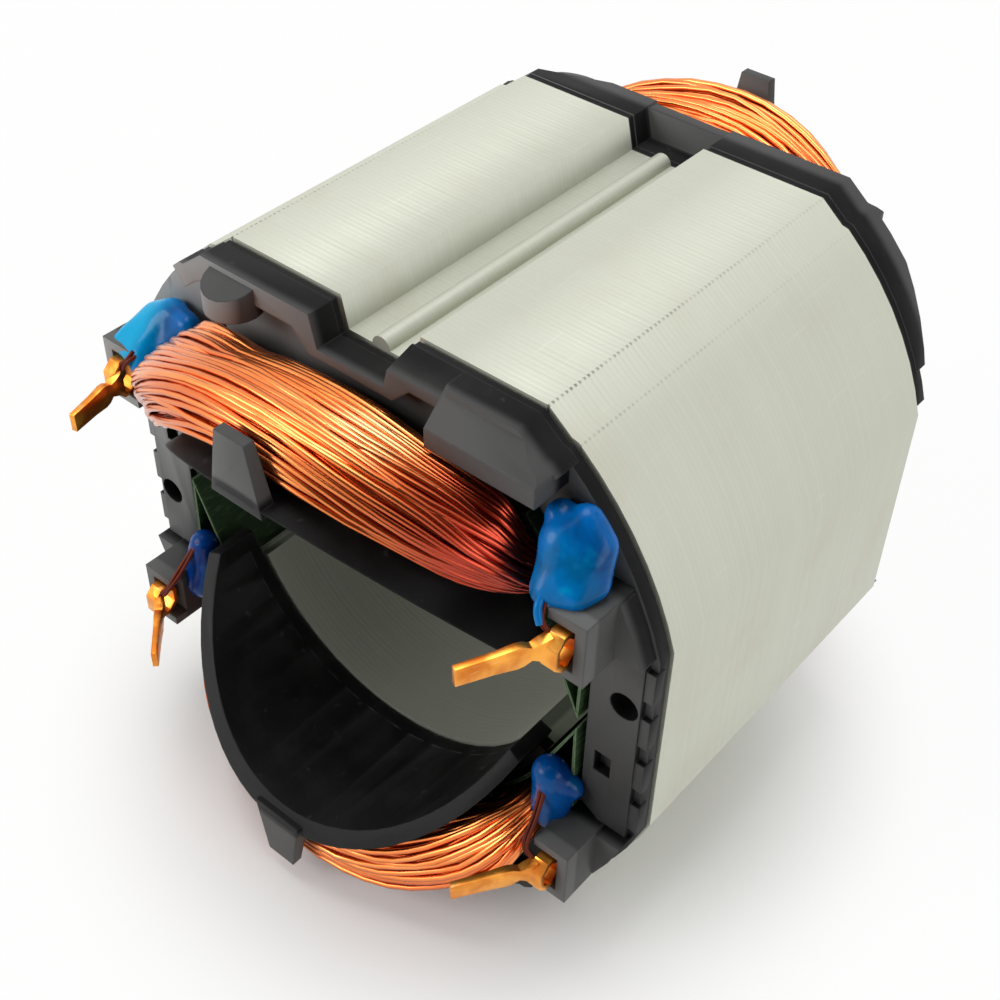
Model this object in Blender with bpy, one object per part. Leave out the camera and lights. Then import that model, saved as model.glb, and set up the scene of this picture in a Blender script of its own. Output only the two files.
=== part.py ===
"""Wound stator of a small two-pole universal motor, modelled at real size.

Frame: the motor axis lies along Y, with the terminals at -Y. The pole axis is Z.
The origin is on the bore axis, half way along the stack. Lengths are in metres.
"""

import math

import bmesh
import bpy
from mathutils import Matrix, Vector

MM = 0.001

# Lamination stack, from the bore outwards. Angles are measured from the pole axis.
STACK_LENGTH = 36.0 * MM
BORE_RADIUS = 17.7 * MM
BORE_STEPS = 48
SHOE_THICKNESS = 2.3 * MM
SHOE_HALF_ANGLE = 63.0
NECK_HALF_ANGLE = 40.0
SLOT_DEPTH = 4.9 * MM
SLOT_OUTER_RADIUS = BORE_RADIUS + SHOE_THICKNESS + SLOT_DEPTH
SLOT_STEPS = 10
POLE_YOKE = 8.9 * MM
SIDE_YOKE = 3.35 * MM
CORE_HEIGHT = 2 * (BORE_RADIUS + POLE_YOKE)
CORE_WIDTH = 2 * (SLOT_OUTER_RADIUS + SIDE_YOKE)

# Round corners of the core, and the bevel that leads from each to the top flat
CORNER_OVERREACH = 1.25 * MM
CORNER_START_ANGLE = 37.5
CORNER_STEP = 0.35 * MM
CORNER_STEPS = 7
CORNER_BEVEL_WIDTH = 2.16 * MM
CORNER_BEVEL_HEIGHT = 1.7 * MM
CORNER_RADIUS = CORE_WIDTH / 2 + CORNER_OVERREACH
CORNER_START_X = CORNER_RADIUS * math.sin(math.radians(CORNER_START_ANGLE))
CORNER_START_RISE = CORNER_RADIUS * math.cos(math.radians(CORNER_START_ANGLE)) - CORNER_STEP
CORNER_CENTRE_HEIGHT = CORE_HEIGHT / 2 - CORNER_BEVEL_HEIGHT - CORNER_START_RISE
CORE_FLAT_WIDTH = 2 * (CORNER_START_X - CORNER_BEVEL_WIDTH)

# Keyway grooves at top and bottom, each with a weld rib on its floor
GROOVE_TOP_WIDTH = 8.0 * MM
GROOVE_FLOOR_WIDTH = 6.6 * MM
GROOVE_DEPTH = 2.85 * MM
RIB_RADIUS = 0.9 * MM
RIB_STEPS = 6

# Clearances
TOUCH_GAP = 0.3 * MM
LINER_GAP = 0.25 * MM
WINDOW_GAP = 0.3 * MM
LINER_ROOM_INSET = 0.04 * MM

# Slot liners
LINER_THICKNESS = 0.35 * MM
LINER_PROTRUSION = 2.6 * MM
LINER_NECK_ANGLE = 1.2
LINER_TIP_ANGLE = 1.5
LINER_BACK_ANGLE = 25.0
LINER_POINT_INSET = 2.8 * MM
LINER_POINT_X = SLOT_OUTER_RADIUS - LINER_POINT_INSET
LINER_POINT_Z = 0.55 * MM

# Guards between rotor and end turns, which also carry the coils
SHIELD_SETBACK = 0.2 * MM
SHIELD_INNER_RADIUS = BORE_RADIUS + SHIELD_SETBACK
SHIELD_WALL = 1.3 * MM
SHIELD_HALF_ANGLE = 72.0
SHIELD_STEPS = 28
SHIELD_SLOPE = 0.8
SHIELD_BLUNT = 0.06 * MM
SHIELD_REACH = SHIELD_SLOPE * (SHIELD_INNER_RADIUS + SHIELD_WALL) - SHIELD_BLUNT
CUT_MARGIN = 5.0 * MM

# Field coils. One side of each coil is wound fuller than the other, as on the real one.
COIL_NECK_ANGLE = 2.6
COIL_SPREAD_SLIM = 12.5
COIL_SPREAD_FULL = 20.5
COIL_ARCH_SLIM = 1.3
COIL_ARCH_FULL = 0.9
COIL_LINER_GAP = 0.3 * MM
COIL_END_START = 2.9 * MM
COIL_INNER_REACH = 0.3 * MM
COIL_OUTER_REACH = 10.6 * MM
COIL_TOP_DROP = 1.1 * MM
COIL_RIM_GAP = 0.95 * MM
COIL_REAR_RISE = 0.7 * MM
COIL_SHOULDER_SLIM = 0.8 * MM
COIL_SHOULDER_FULL = 2.0 * MM
COIL_TURNS_SHOWN = 34
COIL_RIDGE = 0.22 * MM
COIL_SECTION_FINENESS = 12
COIL_END_STEPS = 18
COIL_FLARE_START = 10.0
COIL_FLARE_STOP = 40.0

# End frames: plate and rim
PLATE_THICKNESS = 1.2 * MM
PLATE_INSET = 0.15 * MM
TRIM_INSET = 0.05 * MM
RIM_THICKNESS = 2.0 * MM
FRONT_RIM_DEPTH = 3.1 * MM
REAR_RIM_DEPTH = 4.1 * MM
REAR_RIM_SLOPE = 0.3
REAR_RIM_SLOPE_Z = 21.0 * MM
REAR_RIM_FALL = 0.35
REAR_RIM_FALL_X = -9.0 * MM
NOTCH_WALL_HALF_WIDTH = 4.7 * MM
NOTCH_WALL_THICKNESS = 1.2 * MM
NOTCH_WALL_DROP = 0.2 * MM
RIM_FLOOR = 0.9 * MM
FRONT_RIM_HALF_ANGLE = 41.0
REAR_RIM_HALF_ANGLE = 66.0
RIM_STEP_ANGLE = 4.5
SIDE_RELIEF_DEPTH = 1.2 * MM
SIDE_RELIEF_HEIGHT = 22.0 * MM
RIM_SLOPE_START = 1.0 * MM
RIM_SLOPE_DROP = 1.15 * MM

# End frames: tabs, side pillars, block, ledge and lug
TAB_ROOT_WIDTH = 5.2 * MM
TAB_TIP_WIDTH = 3.0 * MM
FRONT_TAB_DROP = 2.1 * MM
REAR_TAB_DROP = 0.1 * MM
TAB_ROOT_THICKNESS = 1.4 * MM
TAB_TIP_THICKNESS = 1.0 * MM
TAB_SETBACK = 0.1 * MM
PILLAR_OVERLAP = 2.3 * MM
PILLAR_INNER_X = SLOT_OUTER_RADIUS - PILLAR_OVERLAP
PILLAR_DEPTH = 1.9 * MM
SCREW_HOLE_INSET = 2.35 * MM
SCREW_HOLE_Z = 4.6 * MM
SCREW_HOLE_RADIUS = 1.3 * MM
KEY_RECESS_INSET = 3.75 * MM
KEY_RECESS_Z = -3.4 * MM
KEY_RECESS_WIDTH = 1.6 * MM
KEY_RECESS_HEIGHT = 2.4 * MM
KEY_RECESS_DEPTH = 1.0 * MM
BLOCK_SETBACK = 6.8 * MM
BLOCK_START = CORE_FLAT_WIDTH / 2 - BLOCK_SETBACK
BLOCK_LENGTH = 10.0 * MM
BLOCK_HEIGHT = 4.2 * MM
BLOCK_DEPTH = 5.3 * MM
BLOCK_CHAMFER = 2.5 * MM
LEDGE_START = -4.4 * MM
LEDGE_DROP = 1.2 * MM
LEDGE_HEIGHT = 0.95 * MM
LEDGE_SETBACK = 0.05 * MM
LUG_SETBACK = 3.5 * MM
LUG_RADIUS = 2.4 * MM
LUG_DROP = 0.55 * MM
LUG_SLOPE = 0.3
LUG_HEIGHT = 3.2 * MM

# Terminal posts on the front frame
POST_INSET = 4.65 * MM
POST_DROP = 4.4 * MM
POST_X = CORE_WIDTH / 2 - POST_INSET
POST_Z = BORE_RADIUS - POST_DROP
POST_WIDTH = 3.4 * MM
POST_HEIGHT = 5.9 * MM
POST_DEPTH = 7.0 * MM
POST_BASE_DEPTH = 3.4 * MM
POST_BASE_INSET = 0.3 * MM
POST_BASE_EDGE = 0.4 * MM
POCKET_WALL = 0.9 * MM
POCKET_OUTER_WALL = 1.0 * MM
POCKET_DEPTH = 1.4 * MM

# The pad between the posts, with the ribs along its outer side
PAD_OVERLAP = 0.15 * MM
PAD_CHAMFER_HEIGHT = 1.2 * MM
PAD_CHAMFER_WIDTH = 2.0 * MM
PILLAR_HALF_HEIGHT = POST_Z - POST_HEIGHT / 2 + PAD_OVERLAP
EDGE_RIB_COUNT = 4
EDGE_RIB_MARGIN = 0.1 * MM
EDGE_RIB_PITCH = 2 * (PILLAR_HALF_HEIGHT - EDGE_RIB_MARGIN) / EDGE_RIB_COUNT
EDGE_RIB_GAP = 2.0 * MM
EDGE_RIB_HEIGHT = EDGE_RIB_PITCH - EDGE_RIB_GAP
EDGE_RIB_WIDTH = 0.9 * MM
EDGE_RIB_DEPTH = 1.7 * MM

# Terminals: a folded eye in the post's pocket, and a tag that leans in towards the rotor
EYE_LENGTH = 2.6 * MM
EYE_WIDTH = 1.3 * MM
EYE_WALL = 0.45 * MM
EYE_SIDE_GAP = 0.4 * MM
SHANK_LENGTH = 3.2 * MM
SHANK_HEIGHT = 2.3 * MM
SHANK_THICKNESS = 0.9 * MM
TAG_LENGTH = 7.2 * MM
TAG_HEIGHT = 1.75 * MM
TAG_THICKNESS = 0.55 * MM
TAG_ROOT_SETBACK = 0.7 * MM

# Cured resin: over the plate above the upper posts, and beside the slots at the lower ones
UPPER_RESIN_ANGLE = 46.4
UPPER_RESIN_OUTREACH = 1.4 * MM
UPPER_RESIN_RADIUS = CORE_HEIGHT / 2 + UPPER_RESIN_OUTREACH
UPPER_RESIN_SIZE = (6.2 * MM, 3.2 * MM, 3.4 * MM)
LOWER_RESIN_ANGLE = 72.5
LOWER_RESIN_OFFSET = 1.6 * MM
LOWER_RESIN_RADIUS = BORE_RADIUS + SHOE_THICKNESS + LOWER_RESIN_OFFSET
LOWER_RESIN_SIZE = (5.4 * MM, 2.0 * MM, 2.2 * MM)
RESIN_FULLNESS = 0.75

# Wire end from each resin fillet to the inner side of its terminal's eye
LEAD_DIAMETER = 0.8 * MM
LEAD_SIDE_GAP = 0.1 * MM
LEAD_END_RISE = 1.9 * MM
LEAD_ARCH = 1.0 * MM
LEAD_LOW_TURN = 4.0 * MM
LEAD_LOW_ENTRY = 2.6 * MM

FRONT = -1
REAR = 1
CORNER_SIDES = {
    "upper_right": (1, 1),
    "upper_left": (-1, 1),
    "lower_right": (1, -1),
    "lower_left": (-1, -1),
}
TAG_RISE = {
    "upper_right": 0.5 * MM,
    "upper_left": 0.0,
    "lower_right": 0.5 * MM,
    "lower_left": 0.0,
}
TAG_LEAN = {
    "upper_right": 26.0,
    "upper_left": 14.0,
    "lower_right": 32.0,
    "lower_left": 45.0,
}

HALF_LENGTH = STACK_LENGTH / 2
HALF_TURN = Matrix.Rotation(math.pi, 3, "Y")


def clear_scene():
    for item in list(bpy.data.objects):
        bpy.data.objects.remove(item, do_unlink=True)


def principled(name, colour, roughness, metallic=0.0):
    material = bpy.data.materials.new(name)
    material.use_nodes = True
    shader = material.node_tree.nodes["Principled BSDF"]
    shader.inputs["Base Color"].default_value = (*colour, 1.0)
    shader.inputs["Roughness"].default_value = roughness
    shader.inputs["Metallic"].default_value = metallic
    material.diffuse_color = (*colour, 1.0)
    return material


def polar(radius, degrees):
    """Point (x, z) at an angle from the pole axis."""
    angle = math.radians(degrees)
    return (radius * math.sin(angle), radius * math.cos(angle))


def arc(radius, start, stop, steps):
    return [polar(radius, start + (stop - start) * i / steps) for i in range(steps + 1)]


def mirror_x(points):
    return [(-x, z) for x, z in reversed(points)]


def mirror_z(points):
    return [(x, -z) for x, z in reversed(points)]


def new_object(name, bm, material, smooth_angle=40.0):
    bmesh.ops.recalc_face_normals(bm, faces=bm.faces)
    mesh = bpy.data.meshes.new(name)
    bm.to_mesh(mesh)
    bm.free()
    mesh.shade_smooth()
    mesh.set_sharp_from_angle(angle=math.radians(smooth_angle))
    item = bpy.data.objects.new(name, mesh)
    bpy.context.collection.objects.link(item)
    if material:
        mesh.materials.append(material)
    return item


def prism_mesh(outline, start, stop):
    """Closed prism along Y through an (x, z) outline."""
    bm = bmesh.new()
    face = bm.faces.new([bm.verts.new((x, start, z)) for x, z in outline])
    grown = bmesh.ops.extrude_face_region(bm, geom=[face])
    moved = [v for v in grown["geom"] if isinstance(v, bmesh.types.BMVert)]
    bmesh.ops.translate(bm, verts=moved, vec=(0, stop - start, 0))
    return bm


def side_prism_mesh(profile, start, stop):
    """Closed prism along X through a (y, z) profile."""
    bm = bmesh.new()
    face = bm.faces.new([bm.verts.new((start, y, z)) for y, z in profile])
    grown = bmesh.ops.extrude_face_region(bm, geom=[face])
    moved = [v for v in grown["geom"] if isinstance(v, bmesh.types.BMVert)]
    bmesh.ops.translate(bm, verts=moved, vec=(stop - start, 0, 0))
    return bm


def shape_with(item, operation, bm):
    """Join, cut or trim a solid with a helper solid, which is then deleted."""
    helper = new_object(item.name + "_tool", bm, None)
    modifier = item.modifiers.new(operation.title(), "BOOLEAN")
    modifier.operation = operation
    modifier.solver = "EXACT"
    modifier.object = helper
    shaped = bpy.data.meshes.new_from_object(item.evaluated_get(bpy.context.evaluated_depsgraph_get()))
    item.modifiers.remove(modifier)
    item.data = shaped
    bpy.data.objects.remove(helper, do_unlink=True)


def tidy(item, smooth_angle=40.0):
    """Merge the flat faces that the cuts left in pieces, and shade the round ones smooth."""
    bm = bmesh.new()
    bm.from_mesh(item.data)
    bmesh.ops.remove_doubles(bm, verts=bm.verts, dist=0.001 * MM)
    bmesh.ops.dissolve_limit(bm, angle_limit=math.radians(0.3), verts=bm.verts, edges=bm.edges)
    bmesh.ops.triangulate(bm, faces=[face for face in bm.faces if len(face.verts) > 4])
    bm.to_mesh(item.data)
    bm.free()
    item.data.shade_smooth()
    item.data.set_sharp_from_angle(angle=math.radians(smooth_angle))


def corner_arc(inset):
    """Round corner of the core's outline, from its top end down to the side flat."""
    radius = CORNER_RADIUS - inset
    side = CORE_WIDTH / 2 - inset
    stop = math.degrees(math.asin(side / radius))
    return [(x, z + CORNER_CENTRE_HEIGHT)
            for x, z in arc(radius, CORNER_START_ANGLE + 1.5, stop, CORNER_STEPS)]


def top_corner(inset):
    """Bevel and small step between the top flat and the round corner."""
    top = CORE_HEIGHT / 2 - inset
    flat = CORE_FLAT_WIDTH / 2 - 0.35 * inset
    bevel_x, bevel_z = polar(CORNER_RADIUS - inset, CORNER_START_ANGLE)
    return [(flat, top), (bevel_x, bevel_z + CORNER_CENTRE_HEIGHT - CORNER_STEP)]


def groove_half(inset):
    """Right half of the keyway groove, from its floor's middle out to the top flat."""
    top = CORE_HEIGHT / 2
    floor = top - GROOVE_DEPTH - inset
    return [(GROOVE_FLOOR_WIDTH / 2 + inset, floor), (GROOVE_TOP_WIDTH / 2 + inset, top - inset)]


def weld_rib():
    floor = CORE_HEIGHT / 2 - GROOVE_DEPTH
    return [(x, z + floor) for x, z in arc(RIB_RADIUS, 90, 0, RIB_STEPS)][:-1] + [(0, floor + RIB_RADIUS)]


def outline(inset=0.0, rib=False):
    """Whole (x, z) outline of the core, or of a moulding that follows it."""
    quarter = groove_half(inset) + top_corner(inset) + corner_arc(inset)
    if rib:
        quarter = list(reversed(weld_rib())) + quarter
    right = quarter + mirror_z(quarter)
    left = mirror_x(right)
    if rib:
        right = right[:-1]
        left = left[:-1]
    return right + left


def slot_window(gap=0.0):
    """Opening through the stack: the bore with a slot for the coils on each side."""
    shoe_back = BORE_RADIUS + SHOE_THICKNESS
    upper = arc(BORE_RADIUS, 0, SHOE_HALF_ANGLE, BORE_STEPS // 6)[1:]
    upper += arc(shoe_back, SHOE_HALF_ANGLE, NECK_HALF_ANGLE, SLOT_STEPS // 2)
    upper += arc(SLOT_OUTER_RADIUS, NECK_HALF_ANGLE, 90, SLOT_STEPS)[:-1]
    right = upper + [polar(SLOT_OUTER_RADIUS, 90)] + mirror_z(upper)
    return right + [(0, -BORE_RADIUS)] + mirror_x(right) + [(0, BORE_RADIUS)]


def lamination_stack(material):
    stack = new_object("lamination_stack",
                       prism_mesh(outline(rib=True), -HALF_LENGTH, HALF_LENGTH), material)
    reach = HALF_LENGTH + 2 * MM
    shape_with(stack, "DIFFERENCE", prism_mesh(slot_window(), -reach, reach))
    tidy(stack)


def liner_outline(inset):
    """Section of the paper round one coil side, in the upper right slot."""
    inner = BORE_RADIUS + SHOE_THICKNESS + LINER_GAP + inset
    outer = SLOT_OUTER_RADIUS - LINER_GAP - inset
    turn = math.degrees(inset / inner)
    neck = NECK_HALF_ANGLE + LINER_NECK_ANGLE + turn
    tip = SHOE_HALF_ANGLE + LINER_TIP_ANGLE
    back = NECK_HALF_ANGLE + LINER_BACK_ANGLE
    point = (LINER_POINT_X - 0.6 * inset, LINER_POINT_Z + 2.4 * inset)
    steps = SLOT_STEPS // 2
    return arc(inner, neck, tip, steps) + [point] + arc(outer, back, neck, steps)


def slot_liner(name, side, level, material):
    bm = bmesh.new()
    reach = HALF_LENGTH + LINER_PROTRUSION
    rings = []
    for inset in (0.0, LINER_THICKNESS):
        section = [(x * side, z * level) for x, z in liner_outline(inset)]
        rings.append([[bm.verts.new((x, y, z)) for x, z in section] for y in (-reach, reach)])
    count = len(rings[0][0])
    for i in range(count):
        j = (i + 1) % count
        for ring in rings:
            bm.faces.new((ring[0][i], ring[0][j], ring[1][j], ring[1][i]))
        for end in range(2):
            outer = rings[0][end]
            inner = rings[1][end]
            bm.faces.new((outer[i], outer[j], inner[j], inner[i]))
    return new_object(name, bm, material)


def smoothstep(value):
    t = min(max(value, 0.0), 1.0)
    return t * t * (3 - 2 * t)


def coil_end_limits():
    """Radius of the end turns' underside and top, and how far the top dips at the rim."""
    low = SHIELD_INNER_RADIUS + SHIELD_WALL + TOUCH_GAP
    high = CORE_HEIGHT / 2 - COIL_TOP_DROP
    rim_floor = CORE_HEIGHT / 2 - GROOVE_DEPTH - RIM_FLOOR
    return low, high, high - rim_floor + COIL_RIM_GAP


def coil_section(blend):
    """Section of the winding as (across, height) pairs from 0 to 1, with one ridge a turn.

    A blend of 0 gives the nearly square section in the slot, and 1 the rounded end turn.
    """
    count = 2 * COIL_TURNS_SHOWN
    fine = COIL_SECTION_FINENESS * count
    low, high, _ = coil_end_limits()
    end_height = high - low
    edge = []
    for i in range(fine + 1):
        angle = 2 * math.pi * i / fine
        across = math.copysign(abs(math.cos(angle)) ** (0.6 - 0.1 * blend), math.cos(angle))
        height = math.copysign(abs(math.sin(angle)) ** 0.5, math.sin(angle))
        edge.append((0.5 - 0.5 * across, 0.5 + 0.5 * height))
    travelled = [0.0]
    for before, after in zip(edge, edge[1:]):
        travelled.append(travelled[-1] + math.hypot(COIL_OUTER_REACH * (after[0] - before[0]),
                                                    end_height * (after[1] - before[1])))
    points = []
    for k in range(count):
        place = next(i for i, length in enumerate(travelled) if length >= travelled[-1] * k / count)
        sunk = k % 2
        across = 0.5 + (edge[place][0] - 0.5) * (1 - 2 * sunk * COIL_RIDGE / COIL_OUTER_REACH)
        height = 0.5 + (edge[place][1] - 0.5) * (1 - 2 * sunk * COIL_RIDGE / end_height)
        points.append((across, height))
    return points


def coil_stations():
    """Places along one turn as (degrees round the arch, end), once round the pole."""
    turns = [180.0 * i / COIL_END_STEPS for i in range(COIL_END_STEPS + 1)]
    return [(turn, FRONT) for turn in turns] + [(turn, REAR) for turn in reversed(turns)]


def field_coil(name, level, material):
    """Saddle coil: it lies in one slot on each side and arches over both ends of its pole."""
    slot_low = BORE_RADIUS + SHOE_THICKNESS + LINER_GAP + LINER_THICKNESS + COIL_LINER_GAP
    slot_high = SLOT_OUTER_RADIUS - LINER_GAP - LINER_THICKNESS - COIL_LINER_GAP
    end_low, end_high, inner_drop = coil_end_limits()
    neck = NECK_HALF_ANGLE + COIL_NECK_ANGLE
    bm = bmesh.new()
    rings = []
    for turn, end in coil_stations():
        slim = turn < 90
        arch = math.sin(math.radians(turn))
        from_slot = min(turn, 180 - turn)
        blend = smoothstep((from_slot - COIL_FLARE_START) / (COIL_FLARE_STOP - COIL_FLARE_START))
        shoulder = COIL_SHOULDER_SLIM if slim else COIL_SHOULDER_FULL
        shoulder *= math.sin(math.radians(min(3 * from_slot, 180)))
        low = slot_low + (end_low - slot_low) * blend
        spread_range = COIL_SPREAD_SLIM if slim else COIL_SPREAD_FULL
        rise = arch ** (COIL_ARCH_SLIM if slim else COIL_ARCH_FULL)
        ring = []
        for across, height in coil_section(blend):
            spread = neck + spread_range * across
            reach = COIL_INNER_REACH + (COIL_OUTER_REACH - COIL_INNER_REACH) * across
            high = slot_high + (end_high - slot_high) * blend
            high += shoulder * (1 - across) - inner_drop * (1 - across) ** 1.5 * arch ** 2
            if end == REAR:
                high += COIL_REAR_RISE * arch * across
            radius = low + (high - low) * height
            x, z = polar(radius, spread * math.cos(math.radians(turn)))
            y = end * (HALF_LENGTH + COIL_END_START + reach * rise)
            ring.append(bm.verts.new((x * level, y, z * level)))
        rings.append(ring)
    count = len(rings[0])
    for k, ring in enumerate(rings):
        after = rings[(k + 1) % len(rings)]
        for i in range(count):
            j = (i + 1) % count
            bm.faces.new((ring[i], ring[j], after[j], after[i]))
    return new_object(name, bm, material, 30.0)


def rim_section(half_angle):
    """Top wall of a moulding's rim, with the notch for the groove, out to the given angle."""
    edge = CORE_HEIGHT / 2
    steps = 1 + round((half_angle - CORNER_START_ANGLE) / RIM_STEP_ANGLE)
    outer = arc(CORNER_RADIUS, CORNER_START_ANGLE, half_angle, steps)
    inner = arc(CORNER_RADIUS - RIM_THICKNESS, half_angle, CORNER_START_ANGLE, steps)
    right = groove_half(0) + top_corner(0)[:1]
    right += [(x, z + CORNER_CENTRE_HEIGHT) for x, z in outer + inner]
    right += [(CORE_FLAT_WIDTH / 2 - 0.35 * RIM_THICKNESS, edge - RIM_THICKNESS),
              (GROOVE_TOP_WIDTH / 2 + RIM_THICKNESS, edge - RIM_THICKNESS),
              (GROOVE_FLOOR_WIDTH / 2 + RIM_FLOOR, edge - GROOVE_DEPTH - RIM_FLOOR)]
    return right + mirror_x(right)


def shield_mesh(start):
    """Both half-round guards between rotor and end turns, before the slanted cut."""
    bm = bmesh.new()
    outer_radius = SHIELD_INNER_RADIUS + SHIELD_WALL
    half = SHIELD_HALF_ANGLE
    for level in (1, -1):
        points = arc(outer_radius, -half, half, SHIELD_STEPS)
        points += arc(SHIELD_INNER_RADIUS, half, -half, SHIELD_STEPS)
        face = bm.faces.new([bm.verts.new((x, start, z * level)) for x, z in points])
        grown = bmesh.ops.extrude_face_region(bm, geom=[face])
        moved = [v for v in grown["geom"] if isinstance(v, bmesh.types.BMVert)]
        bmesh.ops.translate(bm, verts=moved, vec=(0, SHIELD_REACH - start, 0))
    for level in (1, -1):
        cut = bmesh.ops.bisect_plane(
            bm, geom=[e for e in bm.verts[:] + bm.edges[:] + bm.faces[:]
                      if side_of(e) * level > 0],
            plane_co=(0, 0, 0), plane_no=(0, 1, -SHIELD_SLOPE * level), clear_outer=True)
        edges = [e for e in cut["geom_cut"] if isinstance(e, bmesh.types.BMEdge)]
        bmesh.ops.holes_fill(bm, edges=edges)
    return bm


def side_of(element):
    """Height of an element's first corner, to tell the upper guard from the lower."""
    vert = element if isinstance(element, bmesh.types.BMVert) else element.verts[0]
    return vert.co.z


def frame_window():
    """Opening in an end frame's plate: bore and slots, with room for the liners."""
    inner = SHIELD_INNER_RADIUS
    shield_outer = SHIELD_INNER_RADIUS + SHIELD_WALL
    slot_inner = BORE_RADIUS + SHOE_THICKNESS + LINER_GAP - WINDOW_GAP
    slot_outer = SLOT_OUTER_RADIUS - LINER_GAP + WINDOW_GAP
    neck = NECK_HALF_ANGLE + 0.3
    upper = arc(inner, 0, SHIELD_HALF_ANGLE - 4, BORE_STEPS // 6)[1:]
    upper += arc(slot_inner, SHIELD_HALF_ANGLE - 4, neck, SLOT_STEPS // 2)
    upper += arc(slot_outer, neck, NECK_HALF_ANGLE + LINER_BACK_ANGLE, SLOT_STEPS // 2)
    upper += [(PILLAR_INNER_X, PILLAR_HALF_HEIGHT - PAD_CHAMFER_HEIGHT)]
    right = upper + mirror_z(upper)
    return right + [(0, -inner)] + mirror_x(right) + [(0, inner)]


def end_frame(name, end, material):
    """Moulded insulator on one end face: plate, rim, guards, tabs and side pillars.

    It is built outwards along +Y from the core's face, then turned to its own end.
    """
    start = TOUCH_GAP
    bite = start + PLATE_THICKNESS / 2
    reach = SHIELD_REACH + CUT_MARGIN
    frame = new_object(name, prism_mesh(outline(PLATE_INSET), start, start + PLATE_THICKNESS), material)
    shape_with(frame, "DIFFERENCE", prism_mesh(frame_window(), -reach, reach))
    shape_with(frame, "UNION", shield_mesh(start + 0.1 * MM))
    shape_both_halves(frame, "UNION", rim_mesh(bite, end))
    features = [block_mesh(bite), lug_mesh()]
    if end == FRONT:
        shape_both_halves(frame, "DIFFERENCE", rim_slope_mesh())
        features += [ledge_mesh(bite), ledge_root_mesh(bite), pillar_mesh(bite)] + edge_rib_meshes(bite)
    for feature in features:
        shape_both_halves(frame, "UNION", feature)
    if end == FRONT:
        for side, level in CORNER_SIDES.values():
            shape_with(frame, "UNION", post_base_mesh(bite, side, level))
            shape_with(frame, "UNION", post_mesh(bite, side, level))
            shape_with(frame, "DIFFERENCE", pocket_mesh(side, level))
            shape_with(frame, "DIFFERENCE", liner_room_mesh(side, level))
    shape_with(frame, "INTERSECT", prism_mesh(outline(TRIM_INSET), -reach, reach))
    for turn in (Matrix.Identity(3), HALF_TURN):
        for added in [tab_mesh(end)] if end == FRONT else [tab_mesh(end), notch_wall_mesh()]:
            bmesh.ops.rotate(added, verts=added.verts, matrix=turn)
            shape_with(frame, "UNION", added)
    cuts = [screw_hole_mesh(), key_recess_mesh()] if end == FRONT else [side_relief_mesh()]
    for cut in cuts:
        shape_both_halves(frame, "DIFFERENCE", cut)
    tidy(frame)
    face_end(frame, end)


def shape_both_halves(frame, operation, bm):
    """Shape the frame with a helper solid and with the same solid half a turn about the motor axis."""
    turned = bm.copy()
    bmesh.ops.rotate(turned, verts=turned.verts, matrix=HALF_TURN)
    shape_with(frame, operation, bm)
    shape_with(frame, operation, turned)


def liner_room_mesh(side, level):
    """Room round the end of a slot liner."""
    section = [(x * side, z * level) for x, z in liner_outline(LINER_ROOM_INSET - WINDOW_GAP)]
    return prism_mesh(section, -1 * MM, LINER_PROTRUSION + TOUCH_GAP)


def notch_wall_mesh():
    """Wall that closes the rear rim's notch at its back."""
    half = NOTCH_WALL_HALF_WIDTH
    back = TOUCH_GAP + REAR_RIM_DEPTH - NOTCH_WALL_DROP
    low = CORE_HEIGHT / 2 - GROOVE_DEPTH - RIM_FLOOR / 2
    return box_mesh(-half, half, back - NOTCH_WALL_THICKNESS, back, low, CORE_HEIGHT / 2 - NOTCH_WALL_DROP)


def tab_mesh(end):
    top = CORE_HEIGHT / 2 - (FRONT_TAB_DROP if end == FRONT else REAR_TAB_DROP)
    root = SHIELD_INNER_RADIUS + SHIELD_WALL / 3
    front = SHIELD_SLOPE * (SHIELD_INNER_RADIUS + SHIELD_WALL) - TAB_SETBACK
    bm = bmesh.new()
    made = bmesh.ops.create_cube(bm, size=1.0)
    for vert in made["verts"]:
        tip = vert.co.z > 0
        width = TAB_TIP_WIDTH if tip else TAB_ROOT_WIDTH
        depth = TAB_TIP_THICKNESS if tip else TAB_ROOT_THICKNESS
        vert.co = (width * vert.co.x, front + depth * (vert.co.y - 0.5), top if tip else root)
    return bm


def rim_mesh(bite, end):
    if end == FRONT:
        return prism_mesh(rim_section(FRONT_RIM_HALF_ANGLE), bite, TOUCH_GAP + FRONT_RIM_DEPTH)
    depth = TOUCH_GAP + REAR_RIM_DEPTH
    bm = prism_mesh(rim_section(REAR_RIM_HALF_ANGLE), bite, depth)
    slopes = [((0, depth, REAR_RIM_SLOPE_Z), (0, 1, -REAR_RIM_SLOPE)),
              ((REAR_RIM_FALL_X, depth, 0), (-REAR_RIM_FALL, 1, 0))]
    for place, normal in slopes:
        cut = bmesh.ops.bisect_plane(bm, geom=bm.verts[:] + bm.edges[:] + bm.faces[:],
                                     plane_co=place, plane_no=normal, clear_outer=True)
        edges = [e for e in cut["geom_cut"] if isinstance(e, bmesh.types.BMEdge)]
        bmesh.ops.holes_fill(bm, edges=edges)
    return bm


def side_relief_mesh():
    """The rear moulding stands back from the core's side flats."""
    side = CORE_WIDTH / 2
    half = SIDE_RELIEF_HEIGHT / 2
    return box_mesh(side - SIDE_RELIEF_DEPTH, side + 1 * MM, -1 * MM, 2 * REAR_RIM_DEPTH, -half, half)


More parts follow.
